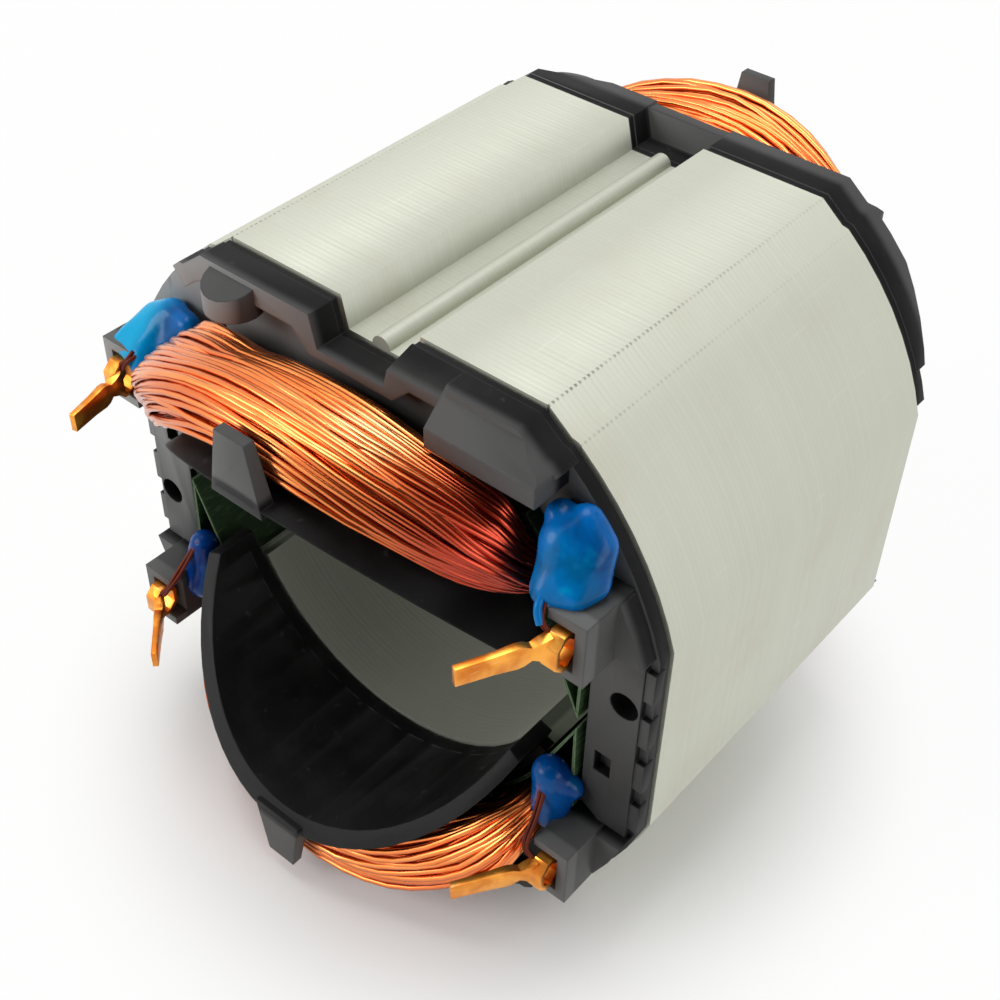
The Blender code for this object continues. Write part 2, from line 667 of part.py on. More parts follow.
def key_recess_mesh():
    x = CORE_WIDTH / 2 - KEY_RECESS_INSET
    z = KEY_RECESS_Z
    floor = TOUCH_GAP + PILLAR_DEPTH - KEY_RECESS_DEPTH
    return box_mesh(x - KEY_RECESS_WIDTH / 2, x + KEY_RECESS_WIDTH / 2, floor, floor + CUT_MARGIN,
                    z - KEY_RECESS_HEIGHT / 2, z + KEY_RECESS_HEIGHT / 2)


def edge_rib_meshes(bite):
    """Short ribs one above the other on a pillar's outer edge."""
    side = CORE_WIDTH / 2
    ribs = []
    for i in range(EDGE_RIB_COUNT):
        z = (i - (EDGE_RIB_COUNT - 1) / 2) * EDGE_RIB_PITCH
        ribs.append(box_mesh(side - 2 * EDGE_RIB_WIDTH, side, bite, TOUCH_GAP + EDGE_RIB_DEPTH,
                             z - EDGE_RIB_HEIGHT / 2, z + EDGE_RIB_HEIGHT / 2))
    return ribs


def screw_hole_mesh():
    bm = bmesh.new()
    made = bmesh.ops.create_cone(bm, cap_ends=True, segments=16, radius1=SCREW_HOLE_RADIUS,
                                 radius2=SCREW_HOLE_RADIUS, depth=4 * CUT_MARGIN)
    bmesh.ops.rotate(bm, verts=made["verts"], matrix=Matrix.Rotation(math.pi / 2, 3, "X"))
    bmesh.ops.translate(bm, verts=made["verts"], vec=(CORE_WIDTH / 2 - SCREW_HOLE_INSET, 0, SCREW_HOLE_Z))
    return bm


def pillar_mesh(bite):
    """Flat pad beside the slot. The edge ribs stand along its outer side."""
    outer = CORE_WIDTH / 2 - EDGE_RIB_WIDTH
    inner = PILLAR_INNER_X + PLATE_INSET
    half = PILLAR_HALF_HEIGHT
    section = [(inner, half - PAD_CHAMFER_HEIGHT), (inner + PAD_CHAMFER_WIDTH, half), (outer, half),
               (outer, -half), (inner + PAD_CHAMFER_WIDTH, -half), (inner, PAD_CHAMFER_HEIGHT - half)]
    return prism_mesh(section, bite + 2 * TRIM_INSET, TOUCH_GAP + PILLAR_DEPTH)


def block_mesh(bite):
    """Stepped block at the rim's right, with the ledge under the groove's notch."""
    top = CORE_HEIGHT / 2
    low = top - BLOCK_HEIGHT
    profile = [(bite, low), (BLOCK_DEPTH, low), (BLOCK_DEPTH, top - BLOCK_CHAMFER),
               (BLOCK_DEPTH - BLOCK_CHAMFER, top), (bite, top)]
    return side_prism_mesh(profile, BLOCK_START, BLOCK_START + BLOCK_LENGTH)


def rim_slope_mesh():
    """Cut that slopes the rim's top down to its front, between the notch and the block."""
    top = CORE_HEIGHT / 2
    low = top - RIM_SLOPE_DROP
    front = TOUCH_GAP + FRONT_RIM_DEPTH + LEDGE_SETBACK
    high = top + CUT_MARGIN
    profile = [(RIM_SLOPE_START, top), (front, low), (front + CUT_MARGIN, low),
               (front + CUT_MARGIN, high), (RIM_SLOPE_START, high)]
    return side_prism_mesh(profile, GROOVE_FLOOR_WIDTH / 2 - TOUCH_GAP, BLOCK_START + TOUCH_GAP)


def ledge_mesh(bite):
    """Wall across the front of the groove's notch. It slopes up from the groove and runs into the block."""
    floor = CORE_HEIGHT / 2 - GROOVE_DEPTH
    high = CORE_HEIGHT / 2 - LEDGE_DROP
    front = TOUCH_GAP + FRONT_RIM_DEPTH - LEDGE_SETBACK
    profile = [(bite, floor - LEDGE_HEIGHT), (front, high - LEDGE_HEIGHT), (front, high),
               (bite, floor - PLATE_INSET - LEDGE_SETBACK)]
    return side_prism_mesh(profile, LEDGE_START, BLOCK_START + TOUCH_GAP)


def ledge_root_mesh(bite):
    """Solid root between the ledge and the rim, from the notch's side to the block."""
    floor = CORE_HEIGHT / 2 - GROOVE_DEPTH - LEDGE_HEIGHT / 2
    high = CORE_HEIGHT / 2 - LEDGE_DROP
    front = TOUCH_GAP + FRONT_RIM_DEPTH - 2 * LEDGE_SETBACK
    profile = [(bite, floor), (front, high - LEDGE_HEIGHT / 2), (front, high - LEDGE_SETBACK),
               (bite, CORE_HEIGHT / 2 - RIM_THICKNESS / 2)]
    return side_prism_mesh(profile, GROOVE_TOP_WIDTH / 2 + TOUCH_GAP, BLOCK_START + 2 * TOUCH_GAP)


def lug_mesh():
    """Round tongue that sticks out of the rim, with its top sloping away."""
    top = CORE_HEIGHT / 2 - LUG_DROP
    middle = TOUCH_GAP + FRONT_RIM_DEPTH
    bm = bmesh.new()
    made = bmesh.ops.create_cone(bm, cap_ends=True, segments=20, radius1=LUG_RADIUS,
                                 radius2=LUG_RADIUS, depth=LUG_HEIGHT)
    place = (LUG_SETBACK - CORE_FLAT_WIDTH / 2, middle, CORE_HEIGHT / 2 - LUG_HEIGHT / 2)
    bmesh.ops.translate(bm, verts=made["verts"], vec=place)
    cut = bmesh.ops.bisect_plane(bm, geom=bm.verts[:] + bm.edges[:] + bm.faces[:],
                                 plane_co=(0, middle, top), plane_no=(0, LUG_SLOPE, 1), clear_outer=True)
    edges = [e for e in cut["geom_cut"] if isinstance(e, bmesh.types.BMEdge)]
    bmesh.ops.holes_fill(bm, edges=edges)
    return bm


def box_mesh(x0, x1, y0, y1, z0, z1):
    return prism_mesh([(x0, z0), (x1, z0), (x1, z1), (x0, z1)], y0, y1)


def post_mesh(bite, side, level):
    half = POST_WIDTH / 2
    low = POST_Z - POST_HEIGHT / 2
    high = POST_Z + POST_HEIGHT / 2
    return box_mesh(side * (POST_X - half), side * (POST_X + half), bite, POST_DEPTH,
                    level * low, level * high)


def post_base_mesh(bite, side, level):
    """Low step from a post out to the round edge of the plate."""
    inner = POST_X - POST_WIDTH / 4
    low = POST_Z - POST_HEIGHT / 2 + POST_BASE_INSET
    high = POST_Z + POST_HEIGHT / 2 - POST_BASE_INSET
    section = [(inner, high), (inner, low)]
    for z in (low, (low + high) / 2, high):
        radius = CORNER_RADIUS - POST_BASE_EDGE
        section.append((math.sqrt(radius ** 2 - (z - CORNER_CENTRE_HEIGHT) ** 2), z))
    section = [(x * side, z * level) for x, z in section]
    return prism_mesh(section, bite + TRIM_INSET, POST_BASE_DEPTH)


def pocket_mesh(side, level):
    """Recess for the terminal in a post's front, open towards the rotor."""
    inner = POST_X - POST_WIDTH / 2 - 1 * MM
    outer = POST_X + POST_WIDTH / 2 - POCKET_OUTER_WALL
    half = POST_HEIGHT / 2 - POCKET_WALL
    return box_mesh(side * inner, side * outer, POST_DEPTH - POCKET_DEPTH, POST_DEPTH + 1 * MM,
                    level * (POST_Z - half), level * (POST_Z + half))


def terminal(corner, material):
    """Folded tag: an oval eye seated in the pocket, a doubled shank and the bare tag."""
    side, level = CORNER_SIDES[corner]
    eye_x = POST_X + POST_WIDTH / 2 - POCKET_OUTER_WALL - EYE_SIDE_GAP - EYE_WIDTH / 2
    eye_back = POST_DEPTH - POCKET_DEPTH + TOUCH_GAP
    eye_front = eye_back + EYE_LENGTH
    half = POST_HEIGHT / 2 - POCKET_WALL - TOUCH_GAP
    round_off = EYE_LENGTH / 3
    loops = []
    for inset in (0, EYE_WALL):
        top = half - inset
        a = eye_back + inset
        b = eye_front - inset
        r = round_off - inset / 2
        loops.append([(a, -top + r), (a + r, -top), (b - r, -top), (b, -top + r),
                      (b, top - r), (b - r, top), (a + r, top), (a, top - r)])
    item = new_object("terminal_" + corner,
                      side_prism_mesh(loops[0], eye_x - EYE_WIDTH / 2, eye_x + EYE_WIDTH / 2), material)
    shape_with(item, "DIFFERENCE", side_prism_mesh(loops[1], eye_x - EYE_WIDTH, eye_x + EYE_WIDTH))
    lean = math.radians(TAG_LEAN[corner])
    along = Vector((-math.sin(lean), math.cos(lean)))
    across = Vector((along.y, -along.x))
    root = Vector((eye_x - EYE_WIDTH / 3, eye_front - TAG_ROOT_SETBACK))
    for length, height, thickness in ((SHANK_LENGTH, SHANK_HEIGHT, SHANK_THICKNESS),
                                      (TAG_LENGTH, TAG_HEIGHT, TAG_THICKNESS)):
        tip = root + along * length
        half_across = across * thickness / 2
        plan = [root - half_across, root + half_across, tip + half_across, tip - half_across]
        rise = level * TAG_RISE[corner]
        strip = plan_prism_mesh([tuple(point) for point in plan], rise - height / 2, rise + height / 2)
        shape_with(item, "UNION", strip)
    tidy(item)
    place_at_post(item, side, level)
    return item


def plan_prism_mesh(plan, low, high):
    """Closed prism along Z through an (x, y) plan."""
    bm = bmesh.new()
    face = bm.faces.new([bm.verts.new((x, y, low)) for x, y in plan])
    grown = bmesh.ops.extrude_face_region(bm, geom=[face])
    moved = [v for v in grown["geom"] if isinstance(v, bmesh.types.BMVert)]
    bmesh.ops.translate(bm, verts=moved, vec=(0, 0, high - low))
    return bm


def place_at_post(item, side, level):
    """Mirror a part that was built for the upper right post to its own post at the front."""
    bm = bmesh.new()
    bm.from_mesh(item.data)
    bmesh.ops.scale(bm, verts=bm.verts, vec=(side, -1, level))
    if side * level > 0:
        bmesh.ops.reverse_faces(bm, faces=bm.faces)
    bm.to_mesh(item.data)
    bm.free()
    item.location = (0, -HALF_LENGTH, level * POST_Z)


def resin_place(level):
    """Place of a resin fillet's middle as (x, depth, z), its size and its turn."""
    if level > 0:
        size = UPPER_RESIN_SIZE
        angle = UPPER_RESIN_ANGLE
        x, z = polar(UPPER_RESIN_RADIUS, angle)
        floor = TOUCH_GAP + PLATE_THICKNESS
    else:
        size = LOWER_RESIN_SIZE
        angle = LOWER_RESIN_ANGLE
        x, z = polar(LOWER_RESIN_RADIUS, angle)
        floor = LINER_PROTRUSION
    return (x, floor + TOUCH_GAP + size[1] / 2, z), size, angle


def resin_fillet(corner, material):
    side, level = CORNER_SIDES[corner]
    (x, depth, z), size, angle = resin_place(level)
    bm = bmesh.new()
    bmesh.ops.create_uvsphere(bm, u_segments=16, v_segments=10, radius=1.0)
    for vert in bm.verts:
        full = [math.copysign(abs(value) ** RESIN_FULLNESS, value) for value in vert.co]
        vert.co = [value * length / 2 for value, length in zip(full, size)]
    item = new_object("resin_fillet_" + corner, bm, material, 80.0)
    item.location = (side * x, -HALF_LENGTH - depth, level * z)
    item.rotation_euler = (0, side * level * math.radians(angle), 0)
    return item


def lead_wire(corner, material):
    """Wire end from the resin, past the post's front, to the inner side of the eye."""
    side, level = CORNER_SIDES[corner]
    (resin_x, resin_depth, resin_z), size, angle = resin_place(level)
    radius = LEAD_DIAMETER / 2
    start = resin_depth + size[1] / 2 + TOUCH_GAP + LEAD_SIDE_GAP
    past_post = POST_DEPTH + TOUCH_GAP + radius
    beside = POST_X - POST_WIDTH / 2 - radius - LEAD_SIDE_GAP
    eye_inner = POST_X + POST_WIDTH / 2 - POCKET_OUTER_WALL - EYE_SIDE_GAP - EYE_WIDTH
    end = (eye_inner - TOUCH_GAP, past_post, POST_Z + level * LEAD_END_RISE)
    if level > 0:
        over = POST_Z + POST_HEIGHT / 2 + radius
        route = [(resin_x, start, resin_z), (beside + radius, (start + past_post) / 2, over + LEAD_ARCH),
                 (beside, past_post, over), end]
    else:
        route = [(resin_x, start, resin_z), (beside, (start + past_post) / 2, POST_Z - LEAD_LOW_TURN),
                 (beside, past_post, POST_Z - LEAD_LOW_ENTRY), end]
    curve = bpy.data.curves.new("lead_route", "CURVE")
    curve.dimensions = "3D"
    curve.bevel_depth = LEAD_DIAMETER / 2
    curve.bevel_resolution = 2
    curve.use_fill_caps = True
    spline = curve.splines.new("POLY")
    points = smooth_route(route, 3)
    spline.points.add(len(points) - 1)
    for point, (x, depth, z) in zip(spline.points, points):
        point.co = (side * x, -HALF_LENGTH - depth, level * z, 1)
    item = bpy.data.objects.new("lead_wire_" + corner, curve)
    bpy.context.collection.objects.link(item)
    curve.materials.append(material)
    return item


def smooth_route(route, steps):
    """Catmull-Rom curve through the points of a route."""
    ends = [route[0]] + route + [route[-1]]
    points = []
    for i in range(len(route) - 1):
        a, b, c, d = [Vector(ends[i + k]) for k in range(4)]
        for k in range(steps):
            t = k / steps
            points.append(0.5 * (2 * b + (c - a) * t + (2 * a - 5 * b + 4 * c - d) * t * t
                                 + (3 * b - a - 3 * c + d) * t ** 3))
    return points + [Vector(route[-1])]


def face_end(item, end):
    """Move a part that was built outwards along +Y to its own end of the stack."""
    if end == FRONT:
        bm = bmesh.new()
        bm.from_mesh(item.data)
        bmesh.ops.scale(bm, verts=bm.verts, vec=(1, -1, 1))
        bmesh.ops.reverse_faces(bm, faces=bm.faces)
        bm.to_mesh(item.data)
        bm.free()
    item.location.y = end * HALF_LENGTH


def main():
    clear_scene()
    steel = principled("electrical_steel", (0.62, 0.63, 0.58), 0.38, 0.85)
    copper = principled("enamelled_copper", (0.80, 0.31, 0.11), 0.32, 0.9)
    plastic = principled("black_moulding", (0.022, 0.022, 0.024), 0.48)
    paper = principled("slot_paper", (0.20, 0.30, 0.16), 0.75)
    brass = principled("terminal_brass", (0.86, 0.55, 0.20), 0.3, 1.0)
    resin = principled("blue_resin", (0.0, 0.17, 0.52), 0.25)
    lamination_stack(steel)
    field_coil("upper_field_coil", 1, copper)
    field_coil("lower_field_coil", -1, copper)
    end_frame("rear_end_frame", REAR, plastic)
    end_frame("front_end_frame", FRONT, plastic)
    for corner, (side, level) in CORNER_SIDES.items():
        slot_liner("slot_liner_" + corner, side, level, paper)
        terminal(corner, brass)
        resin_fillet(corner, resin)
        lead_wire(corner, copper)


main()
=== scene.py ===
import math
import random

import bmesh
import bpy
from mathutils import Matrix, Vector, noise


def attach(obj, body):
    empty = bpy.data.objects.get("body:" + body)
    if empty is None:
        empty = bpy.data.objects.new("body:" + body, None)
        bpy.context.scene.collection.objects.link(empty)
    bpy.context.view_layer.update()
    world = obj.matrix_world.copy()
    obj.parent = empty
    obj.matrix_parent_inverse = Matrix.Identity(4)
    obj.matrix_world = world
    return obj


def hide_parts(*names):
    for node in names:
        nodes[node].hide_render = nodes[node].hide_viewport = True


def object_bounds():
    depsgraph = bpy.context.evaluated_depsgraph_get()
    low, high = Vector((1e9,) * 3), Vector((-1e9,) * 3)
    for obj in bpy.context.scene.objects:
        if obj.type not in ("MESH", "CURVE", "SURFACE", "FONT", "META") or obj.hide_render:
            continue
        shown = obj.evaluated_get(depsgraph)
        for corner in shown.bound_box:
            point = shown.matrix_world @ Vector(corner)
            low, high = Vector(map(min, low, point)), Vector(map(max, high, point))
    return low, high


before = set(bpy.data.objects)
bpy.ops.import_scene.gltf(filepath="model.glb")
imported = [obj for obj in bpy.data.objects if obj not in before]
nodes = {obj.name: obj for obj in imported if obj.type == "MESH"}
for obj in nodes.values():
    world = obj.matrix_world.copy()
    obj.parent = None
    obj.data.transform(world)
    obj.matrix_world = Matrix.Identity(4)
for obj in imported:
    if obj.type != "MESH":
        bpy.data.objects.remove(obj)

mm = 0.001
scene = bpy.context.scene
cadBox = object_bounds()
frontFace = -18.0      # the core's front face along Y, in mm; a depth counts outwards from it
mergeDistance = 0.002  # loose corners of a copied mesh are joined within this distance, in mm

corners = {
    "upper_right": (1, 1),
    "upper_left": (-1, 1),
    "lower_right": (1, -1),
    "lower_left": (-1, -1),
}


# Small helpers for nodes and meshes

def addNode(tree, kind, settings=None, inputs=None):
    made = tree.nodes.new(kind)
    for key, value in (settings or {}).items():
        setattr(made, key, value)
    for key, value in (inputs or {}).items():
        if isinstance(value, bpy.types.NodeSocket):
            tree.links.new(value, made.inputs[key])
        else:
            made.inputs[key].default_value = value
    return made


def maths(tree, operation, first, second=0.0, clamp=False):
    made = addNode(tree, "ShaderNodeMath", {"operation": operation, "use_clamp": clamp},
                   {0: first, 1: second})
    return made.outputs[0]


def times(tree, value, share):
    return maths(tree, "MULTIPLY", value, share)


def size(tree, value):
    return maths(tree, "ABSOLUTE", value)


def blendColour(tree, factor, first, second):
    made = addNode(tree, "ShaderNodeMix", {"data_type": "RGBA"},
                   {"Factor": factor, 6: first, 7: second})
    return made.outputs[2]


def remap(tree, value, low, high, newLow, newHigh):
    made = addNode(tree, "ShaderNodeMapRange", {"interpolation_type": "SMOOTHSTEP"},
                   {"Value": value, "From Min": low, "From Max": high,
                    "To Min": newLow, "To Max": newHigh})
    return made.outputs["Result"]


def zone(tree, value, limits, newLow, newHigh):
    # the same as remap, with the limits in mm
    return remap(tree, value, limits[0] * mm, limits[1] * mm, newLow, newHigh)


def splitAxes(tree, vector):
    return addNode(tree, "ShaderNodeSeparateXYZ", inputs={0: vector}).outputs


def facing(tree):
    return splitAxes(tree, addNode(tree, "ShaderNodeNewGeometry").outputs["Normal"])


def fromAxis(tree, axes):
    flat = addNode(tree, "ShaderNodeCombineXYZ", inputs={"X": axes["X"], "Z": axes["Z"]})
    return addNode(tree, "ShaderNodeVectorMath", {"operation": "LENGTH"},
                   {0: flat.outputs[0]}).outputs["Value"]


def fromPoint(tree, place, point):
    return addNode(tree, "ShaderNodeVectorMath", {"operation": "DISTANCE"},
                   {0: place, 1: point}).outputs["Value"]


def newMaterial(name, fixed):
    material = bpy.data.materials.new(name)
    material.use_nodes = True
    tree = material.node_tree
    shader = tree.nodes["Principled BSDF"]
    for key, value in fixed.items():
        shader.inputs[key].default_value = value
    return material, tree, shader


def newGroup(name, wanted, given):
    group = bpy.data.node_groups.new(name, "ShaderNodeTree")
    for label, kind, value in wanted:
        socket = group.interface.new_socket(label, in_out="INPUT", socket_type=kind)
        if value is not None:
            socket.default_value = value
    for label, kind in given:
        group.interface.new_socket(label, in_out="OUTPUT", socket_type=kind)
    start = group.nodes.new("NodeGroupInput")
    stop = group.nodes.new("NodeGroupOutput")
    return group, start, stop


def useGroup(tree, group, inputs):
    return addNode(tree, "ShaderNodeGroup", {"node_tree": group}, inputs).outputs


def objectPlace(tree):
    return addNode(tree, "ShaderNodeTexCoord").outputs["Object"]


def setSurface(tree, shader, colour, least, tone, extra):
    # the colour, and a roughness that grows from its least value with the tone
    tree.links.new(colour, shader.inputs["Base Color"])
    tree.links.new(maths(tree, "ADD", least, times(tree, tone, extra)), shader.inputs["Roughness"])


def setBump(tree, shader, height, strength, distance, normal=None):
    inputs = {"Height": height, "Strength": strength, "Distance": distance * mm}
    if normal is not None:
        inputs["Normal"] = normal
    made = addNode(tree, "ShaderNodeBump", inputs=inputs)
    tree.links.new(made.outputs[0], shader.inputs["Normal"])


def toObject(name, bm, material, smoothAngle=35.0):
    mesh = bpy.data.meshes.new(name)
    bm.to_mesh(mesh)
    bm.free()
    mesh.materials.append(material)
    mesh.shade_smooth()
    mesh.set_sharp_from_angle(angle=math.radians(smoothAngle))
    item = bpy.data.objects.new(name, mesh)
    scene.collection.objects.link(item)
    return item


def finalMesh(item):
    ready = item.evaluated_get(bpy.context.evaluated_depsgraph_get())
    return bpy.data.meshes.new_from_object(ready)


def bakeModifiers(item):
    mesh = finalMesh(item)
    item.modifiers.clear()
    item.data = mesh
    mesh.shade_smooth()


def curveToObject(name, curve, material):
    holder = bpy.data.objects.new(name + "Curve", curve)
    scene.collection.objects.link(holder)
    mesh = finalMesh(holder)
    bpy.data.objects.remove(holder)
    mesh.name = name
    mesh.materials.clear()
    mesh.materials.append(material)
    mesh.shade_smooth()
    item = bpy.data.objects.new(name, mesh)
    scene.collection.objects.link(item)
    return item


def mergedCopy(name):
    bm = bmesh.new()
    bm.from_mesh(nodes[name].data)
    bmesh.ops.remove_doubles(bm, verts=bm.verts, dist=mergeDistance * mm)
    return bm


def dissolveFlat(bm, degrees):
    bmesh.ops.dissolve_limit(bm, angle_limit=math.radians(degrees), verts=bm.verts, edges=bm.edges)


def cutAcross(bm, place, direction, near):
    bmesh.ops.bisect_plane(bm, geom=bm.verts[:] + bm.edges[:] + bm.faces[:], dist=near * mm,
                           plane_co=place, plane_no=direction)


def atFront(x, depth, z):
    return Vector((x, frontFace - depth, z)) * mm


def cornerName(word, corner):
    return word + corner.title().replace("_", "")


# Effects that more than one material uses

def makeGrain():
    group, start, stop = newGroup("surfaceGrain", [
        ("Vector", "NodeSocketVector", None),
        ("Fine Scale", "NodeSocketFloat", 3000.0),
        ("Broad Scale", "NodeSocketFloat", 120.0),
    ], [("Fine", "NodeSocketFloat"), ("Broad", "NodeSocketFloat"), ("Both", "NodeSocketFloat")])
    fine = addNode(group, "ShaderNodeTexNoise", inputs={
        "Vector": start.outputs["Vector"], "Scale": start.outputs["Fine Scale"],
        "Detail": 2.0}).outputs[0]
    broad = addNode(group, "ShaderNodeTexNoise", inputs={
        "Vector": start.outputs["Vector"], "Scale": start.outputs["Broad Scale"],
        "Detail": 5.0, "Distortion": 0.4}).outputs[0]
    group.links.new(fine, stop.inputs["Fine"])
    group.links.new(broad, stop.inputs["Broad"])
    group.links.new(times(group, fine, broad), stop.inputs["Both"])
    return group


def makeEdgeWear():
    group, start, stop = newGroup("edgeWear", [
        ("Radius", "NodeSocketFloat", 0.0002),
        ("Gain", "NodeSocketFloat", 6.0),
        ("Breakup", "NodeSocketFloat", 1.0),
    ], [("Edge", "NodeSocketFloat"), ("Normal", "NodeSocketVector")])
    soft = addNode(group, "ShaderNodeBevel", {"samples": 4},
                   {"Radius": start.outputs["Radius"]}).outputs[0]
    flat = addNode(group, "ShaderNodeNewGeometry").outputs["Normal"]
    same = addNode(group, "ShaderNodeVectorMath", {"operation": "DOT_PRODUCT"},
                   {0: soft, 1: flat}).outputs["Value"]
    strong = times(group, maths(group, "SUBTRACT", 1.0, same), start.outputs["Gain"])
    edge = maths(group, "MULTIPLY", strong, start.outputs["Breakup"], clamp=True)
    group.links.new(edge, stop.inputs["Edge"])
    group.links.new(soft, stop.inputs["Normal"])
    return group


def makeScratches():
    group, start, stop = newGroup("scratches", [
        ("Vector", "NodeSocketVector", None),
        ("Stretch", "NodeSocketVector", (200.0, 3000.0, 3000.0)),
        ("Cut", "NodeSocketFloat", 0.62),
        ("Gain", "NodeSocketFloat", 9.0),
    ], [("Scratch", "NodeSocketFloat")])
    long = addNode(group, "ShaderNodeVectorMath", {"operation": "MULTIPLY"},
                   {0: start.outputs["Vector"], 1: start.outputs["Stretch"]}).outputs[0]
    lines = addNode(group, "ShaderNodeTexNoise",
                    inputs={"Vector": long, "Scale": 1.0, "Detail": 2.0}).outputs[0]
    over = maths(group, "SUBTRACT", lines, start.outputs["Cut"])
    scratch = maths(group, "MULTIPLY", over, start.outputs["Gain"], clamp=True)
    group.links.new(scratch, stop.inputs["Scratch"])
    return group


def makeSheetLines():
    group, start, stop = newGroup("sheetLines", [
        ("Vector", "NodeSocketVector", None),
        ("Pitch", "NodeSocketFloat", 0.0005),
        ("Line Width", "NodeSocketFloat", 0.12),
    ], [("Line", "NodeSocketFloat"), ("Sheet", "NodeSocketFloat")])
    along = splitAxes(group, start.outputs["Vector"])["Y"]
    count = maths(group, "DIVIDE", along, start.outputs["Pitch"])
    near = maths(group, "PINGPONG", count, 0.5)
    line = addNode(group, "ShaderNodeMapRange", {"interpolation_type": "SMOOTHSTEP"},
                   {"Value": near, "From Min": 0.0, "From Max": start.outputs["Line Width"],
                    "To Min": 1.0, "To Max": 0.0}).outputs["Result"]
    sheet = addNode(group, "ShaderNodeTexWhiteNoise", {"noise_dimensions": "1D"},
                    {"W": maths(group, "FLOOR", count)}).outputs["Value"]
    group.links.new(line, stop.inputs["Line"])
    group.links.new(sheet, stop.inputs["Sheet"])
    return group


grain = makeGrain()
edgeWear = makeEdgeWear()
scratches = makeScratches()
sheetLines = makeSheetLines()


# Camera, lamps and floor

camera = {
    "place": (0.06506, -0.08412, 0.09281),
    "right": (0.76638, 0.64205, 0.02072),
    "down": (0.44451, -0.50675, -0.73865),
    "forward": (-0.46375, 0.57530, -0.67376),
    "lens": 55.49,
    "sensor": 36,
    "nearest": 0.005,
}

lamps = {
    "topSoftbox": {"place": (-0.10, 0.05, 0.60), "size": 0.42, "power": 1.75},
    "frontSoftbox": {"place": (-0.27, -0.40, 0.22), "size": 0.30, "power": 1.25},
    "sideFill": {"place": (0.55, -0.05, 0.22), "size": 0.35, "power": 0.72},
}

studio = {
    "white": (1.0, 1.0, 1.0, 1.0),
    "sky": 0.46,
    "floorSize": 1.5,
    "floorGap": 0.02,      # under the object, in mm
    "floorLift": 0.02,     # how much lighter the mottle makes the floor
    "floorTone": (0.92, 0.915, 0.90, 1.0),
    "floorGlowNear": 0.04,
    "floorGlowFar": 0.92,
    "glowCentre": (0.0, -0.006, 0.0),
    "nearRadius": 0.034,
    "farRadius": 0.053,
    "screenDistance": 0.55,
    "screenSize": 0.42,
    "screenDark": (0.02, 0.02, 0.02, 1.0),
    "screenLight": (0.05, 0.05, 0.05, 1.0),
}


def makeCamera():
    data = bpy.data.cameras.new("photoCamera")
    data.lens = camera["lens"]
    data.sensor_width = camera["sensor"]
    data.clip_start = camera["nearest"]
    item = bpy.data.objects.new("photoCamera", data)
    scene.collection.objects.link(item)
    right = Vector(camera["right"])
    up = -Vector(camera["down"])
    back = -Vector(camera["forward"])
    turn = Matrix((right, up, back)).transposed()
    item.matrix_world = Matrix.Translation(camera["place"]) @ turn.to_4x4()
    scene.camera = item


def makeLamps():
    for name, plan in lamps.items():
        data = bpy.data.lights.new(name, "AREA")
        data.shape = "DISK"
        data.size = plan["size"]
        data.energy = plan["power"]
        item = bpy.data.objects.new(name, data)
        scene.collection.objects.link(item)
        item.location = plan["place"]
        item.rotation_mode = "QUATERNION"
        item.rotation_quaternion = (-Vector(plan["place"])).to_track_quat("-Z", "Y")


def seenStraight(tree):
    path = addNode(tree, "ShaderNodeLightPath")
    both = maths(tree, "MAXIMUM", path.outputs["Is Camera Ray"], path.outputs["Is Glossy Ray"])
    return maths(tree, "MAXIMUM", both, path.outputs["Is Transmission Ray"])


def makeWorld():
    world = bpy.data.worlds.new("paleStudio")
    scene.world = world
    world.use_nodes = True
    tree = world.node_tree
    tree.nodes.clear()
    sky = addNode(tree, "ShaderNodeBackground",
                  inputs={"Color": studio["white"], "Strength": studio["sky"]})
    backdrop = addNode(tree, "ShaderNodeBackground",
                       inputs={"Color": studio["white"], "Strength": 1.0})
    mix = addNode(tree, "ShaderNodeMixShader",
                  inputs={0: seenStraight(tree), 1: sky.outputs[0], 2: backdrop.outputs[0]})
    addNode(tree, "ShaderNodeOutputWorld", inputs={"Surface": mix.outputs[0]})


def makeFloor():
    bm = bmesh.new()
    bmesh.ops.create_grid(bm, x_segments=1, y_segments=1, size=studio["floorSize"])
    bmesh.ops.translate(bm, verts=bm.verts, vec=(0, 0, cadBox[0].z - studio["floorGap"] * mm))
    material, tree, shader = newMaterial("paleFloor", {"Roughness": 0.7, "Specular IOR Level": 0.2})
    place = objectPlace(tree)
    mottle = addNode(tree, "ShaderNodeTexNoise",
                     inputs={"Vector": place, "Scale": 14.0, "Detail": 3.0})
    lighter = tuple(min(value + studio["floorLift"], 1.0) for value in studio["floorTone"])
    tone = blendColour(tree, mottle.outputs[0], studio["floorTone"], lighter)
    tree.links.new(tone, shader.inputs["Base Color"])
    # the floor glows white where it is looked at, except close round the object
    glow = addNode(tree, "ShaderNodeEmission", inputs={"Color": studio["white"], "Strength": 1.0})
    reach = remap(tree, fromPoint(tree, place, studio["glowCentre"]), studio["nearRadius"],
                  studio["farRadius"], studio["floorGlowNear"], studio["floorGlowFar"])
    share = times(tree, seenStraight(tree), reach)
    mix = addNode(tree, "ShaderNodeMixShader",
                  inputs={0: share, 1: shader.outputs[0], 2: glow.outputs[0]})
    output = next(n for n in tree.nodes if n.type == "OUTPUT_MATERIAL")
    tree.links.new(mix.outputs[0], output.inputs["Surface"])
    toObject("floor", bm, material)


